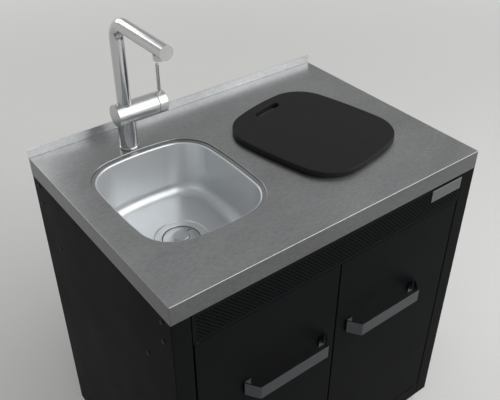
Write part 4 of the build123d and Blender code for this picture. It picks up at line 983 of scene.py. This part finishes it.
class SINK_OT_worktop(bpy.types.Operator):
    """Gives the worktop and its stiffeners their brushed finish"""

    bl_idname = "sink.worktop"
    bl_label = "Worktop"

    def execute(self, context):
        brushed = brushed_worktop_sheet(context.scene.sink_steel)
        dress(brushed, "worktop", "worktop_stiffeners")
        return {"FINISHED"}


class SINK_OT_bowl(bpy.types.Operator):
    """Gives the bowl and drain their satin finish, the strainer its turned one, and the seals
    and the plug their rubber"""

    bl_idname = "sink.bowl"
    bl_label = "Bowl and strainer"

    def execute(self, context):
        steel = context.scene.sink_steel
        dress(satin_bowl_sheet(steel), "bowl", "drain_body")
        dress(shared(TURNED_STEEL, turned_bar, steel), "basket")
        rings = (30.0, 1.2, 30.0)
        dress(brushed_steel("stainless_disc_turned", steel.knob, rings), "basket_knob")
        dress(moulded_rubber(), "basket_plug", "drain_seal", "tap_gasket")
        return {"FINISHED"}


class SINK_OT_tap(bpy.types.Operator):
    """Gives the tap its polish, and its inside its brass and plastic"""

    bl_idname = "sink.tap"
    bl_label = "Tap"

    def execute(self, context):
        steel = context.scene.sink_steel
        cabinet = context.scene.sink_cabinet
        dress(polished_tube(steel), "tap_base_ring", "tap_column", "lever_rod", "spout")
        turned = shared(TURNED_STEEL, turned_bar, steel)
        dress(turned, "mixer_body", "mixer_end_cap", "lever_cap", "spout_end_cap", "aerator")
        dress(turned_brass(), "cartridge_nut", "tap_shank", "tap_nut")
        plastic = moulded_plastic("abs_moulded_black", cabinet.moulded, 0.42)
        dress(plastic, "cartridge", "temperature_disc")
        dress(shared(BLACK_OXIDE, blackened_screw, cabinet), "lever_set_screw")
        return {"FINISHED"}


class SINK_OT_board(bpy.types.Operator):
    """Gives the chopping board its moulded grain"""

    bl_idname = "sink.board"
    bl_label = "Chopping board"

    def execute(self, context):
        dress(moulded_board(context.scene.sink_cabinet), "cutting_board")
        return {"FINISHED"}


class SINK_OT_cabinet(bpy.types.Operator):
    """Coats the panels and doors, and perforates the vent panel"""

    bl_idname = "sink.cabinet"
    bl_label = "Cabinet and vent"

    def execute(self, context):
        coating = powder_coat(context.scene.sink_cabinet)
        dress(coating, "left_side_panel", "right_side_panel", "back_panel", "floor_panel")
        dress(coating, "plinth_rail", "vent_panel", "left_door", "right_door")
        perforated_panel(context.scene.sink_vent, coating)
        return {"FINISHED"}


class SINK_OT_handles(bpy.types.Operator):
    """Brushes the handles and the plate, and gives the handles their screws and nuts"""

    bl_idname = "sink.handles"
    bl_label = "Handles and plate"

    def execute(self, context):
        steel = context.scene.sink_steel
        hairlines = (45.0, 45.0, 1.5)
        strip = brushed_steel("stainless_strip_brushed", steel.handle, hairlines)
        dress(strip, "left_handle", "right_handle")
        plate = brushed_steel("stainless_plate_brushed", steel.badge, hairlines)
        dress(plate, "badge_plate")
        dark = shared(BLACK_OXIDE, blackened_screw, context.scene.sink_cabinet)
        shank_radius = 2 * MM
        head_height = 1.8 * MM
        # The drawn head is this much narrower than the plain one, to stay inside it
        head_slack = 0.2 * MM
        nut_radius = 4 * MM
        nut_height = 3 * MM
        past_nut = 1.5 * MM
        for side in ("left", "right"):
            name = side + "_handle_screws"
            boxes = solids(name)
            places = []
            for low, high in boxes:
                point = ((low.x + high.x) / 2, low.y + head_height, (low.z + high.z) / 2)
                places.append((point, (math.pi / 2, 0, 0)))
            low, high = boxes[0]
            head_radius = (high.z - low.z) / 2 - head_slack
            reach = high.y - low.y - head_height
            nut_end = reach - past_nut
            screw = pan_head(
                context.scene.sink_fasteners,
                head_radius,
                head_height,
                reach,
                shank_radius,
                nut=(nut_radius, nut_end - nut_height, nut_end),
            )
            driven_screws(name, screw, places, dark, side + "_door")
        return {"FINISHED"}


class SINK_OT_side_screws(bpy.types.Operator):
    """Drives the blackened screws into the side panels, and blackens those at the rear"""

    bl_idname = "sink.side_screws"
    bl_label = "Side screws"

    def execute(self, context):
        dark = shared(BLACK_OXIDE, blackened_screw, context.scene.sink_cabinet)
        shank_radius = 2.5 * MM
        head_height = 2.2 * MM
        boxes = solids("side_screws")
        places = []
        for low, high in boxes:
            level = ((low.y + high.y) / 2, (low.z + high.z) / 2)
            if low.x < 0:
                places.append(((low.x + head_height, *level), (0, -math.pi / 2, 0)))
            else:
                places.append(((high.x - head_height, *level), (0, math.pi / 2, 0)))
        low, high = boxes[0]
        head_radius = (high.z - low.z) / 2
        reach = high.x - low.x - head_height
        screw = pan_head(
            context.scene.sink_fasteners, head_radius, head_height, reach, shank_radius
        )
        driven_screws("side_screws", screw, places, dark, "cabinet")
        dress(dark, "rear_screws")
        return {"FINISHED"}


class SINK_OT_brackets(bpy.types.Operator):
    """Gives the hidden rails, braces, brackets and clips their zinc, and the bushes and magnets
    their plastic"""

    bl_idname = "sink.brackets"
    bl_label = "Rails and brackets"

    def execute(self, context):
        zinc = shared(ZINC_PLATE, zinc_plate)
        dress(zinc, "cross_rails", "side_braces", "hinge_brackets", "foot_brackets")
        dress(zinc, "bowl_clips", "bowl_clip_bolts", "worktop_screws")
        plastic = moulded_plastic("abs_moulded_satin", context.scene.sink_cabinet.moulded, 0.5)
        dress(plastic, "left_door_bushes", "right_door_bushes", "door_magnets")
        return {"FINISHED"}


class SINK_OT_trap(bpy.types.Operator):
    """Gives the trap and the drain's ring nut their white plastic"""

    bl_idname = "sink.trap"
    bl_label = "Trap"

    def execute(self, context):
        colour = context.scene.sink_cabinet.trap
        white = moulded_plastic("polypropylene_moulded_white", colour, 0.4)
        dress(white, "trap_tailpiece", "trap_body", "trap_cup", "trap_outlet_pipe", "trap_nuts")
        dress(white, "drain_locknut")
        return {"FINISHED"}


class SINK_OT_feet(bpy.types.Operator):
    """Makes the four levelling feet"""

    bl_idname = "sink.feet"
    bl_label = "Feet"

    def execute(self, context):
        pad = moulded_plastic("polyamide_moulded_black", context.scene.sink_cabinet.moulded, 0.5)
        zinc = shared(ZINC_PLATE, zinc_plate)
        for word in ("front_left", "front_right", "rear_left", "rear_right"):
            levelling_foot(word, context.scene.sink_fasteners, pad, zinc)
        return {"FINISHED"}


class SINK_OT_studio(bpy.types.Operator):
    """Lays the pale floor, and sets the walls' light, the soft boxes and the camera"""

    bl_idname = "sink.studio"
    bl_label = "Studio"

    def execute(self, context):
        scene = context.scene
        look = scene.sink_studio

        shape = bmesh.new()
        bmesh.ops.create_grid(shape, x_segments=8, y_segments=8, size=FLOOR_REACH)
        floor = new_object("studio_floor", finished_mesh("studio_floor", shape))
        floor.data.transform(Matrix.Translation((0, 0, -FLOOR_DROP)))
        floor.data.materials.append(floor_paint(look))

        scene.world = painted_walls(look)
        for name, (where, aim, width, power) in SOFT_BOXES.items():
            light = bpy.data.lights.new(name, "AREA")
            light.shape = "RECTANGLE"
            light.size = width
            light.size_y = SOFT_BOX_SHAPE * width
            light.energy = getattr(look, power)
            lamp = bpy.data.objects.new(name, light)
            lamp.location = where
            lamp.rotation_euler = (Vector(aim) - Vector(where)).to_track_quat("-Z", "Y").to_euler()
            lamp.visible_camera = False
            scene.collection.objects.link(lamp)

        lens = bpy.data.cameras.new("camera")
        lens.lens = CAMERA_LENS
        lens.sensor_width = CAMERA_SENSOR
        camera = bpy.data.objects.new("camera", lens)
        camera.location = CAMERA_PLACE
        camera.rotation_euler = (math.radians(CAMERA_TILT), 0, math.radians(CAMERA_TURN))
        scene.collection.objects.link(camera)
        scene.camera = camera
        scene.view_settings.view_transform = "Standard"
        return {"FINISHED"}


GROUPS = {
    "sink_steel": SteelFinish,
    "sink_cabinet": CabinetFinish,
    "sink_vent": VentSizes,
    "sink_fasteners": FastenerSizes,
    "sink_studio": StudioLook,
}

OPERATORS = (
    SINK_OT_worktop,
    SINK_OT_bowl,
    SINK_OT_tap,
    SINK_OT_board,
    SINK_OT_cabinet,
    SINK_OT_handles,
    SINK_OT_side_screws,
    SINK_OT_brackets,
    SINK_OT_trap,
    SINK_OT_feet,
    SINK_OT_studio,
)


class SINK_PT_panel(bpy.types.Panel):
    """Lists the sizes and colours of the sink unit, and what makes its pieces"""

    bl_idname = "SINK_PT_panel"
    bl_label = "Sink unit"
    bl_space_type = "VIEW_3D"
    bl_region_type = "UI"
    bl_category = "Sink unit"

    def draw(self, context):
        layout = self.layout
        for name, group in GROUPS.items():
            box = layout.box()
            values = getattr(context.scene, name)
            for field in group.__annotations__:
                box.prop(values, field)
        for operator in OPERATORS:
            layout.operator(operator.bl_idname)


def register():
    """Adds the groups of properties, the operators and the panel."""
    for name, group in GROUPS.items():
        bpy.utils.register_class(group)
        setattr(bpy.types.Scene, name, PointerProperty(type=group))
    for item in (*OPERATORS, SINK_PT_panel):
        bpy.utils.register_class(item)


def unregister():
    """Takes away all that register adds, in reverse."""
    for item in (SINK_PT_panel, *reversed(OPERATORS)):
        bpy.utils.unregister_class(item)
    for name, group in reversed(GROUPS.items()):
        delattr(bpy.types.Scene, name)
        bpy.utils.unregister_class(group)


def main():
    """Makes every piece and the studio."""
    register()
    for operator in OPERATORS:
        group, name = operator.bl_idname.split(".")
        getattr(getattr(bpy.ops, group), name)()


if __name__ == "__main__":
    main()
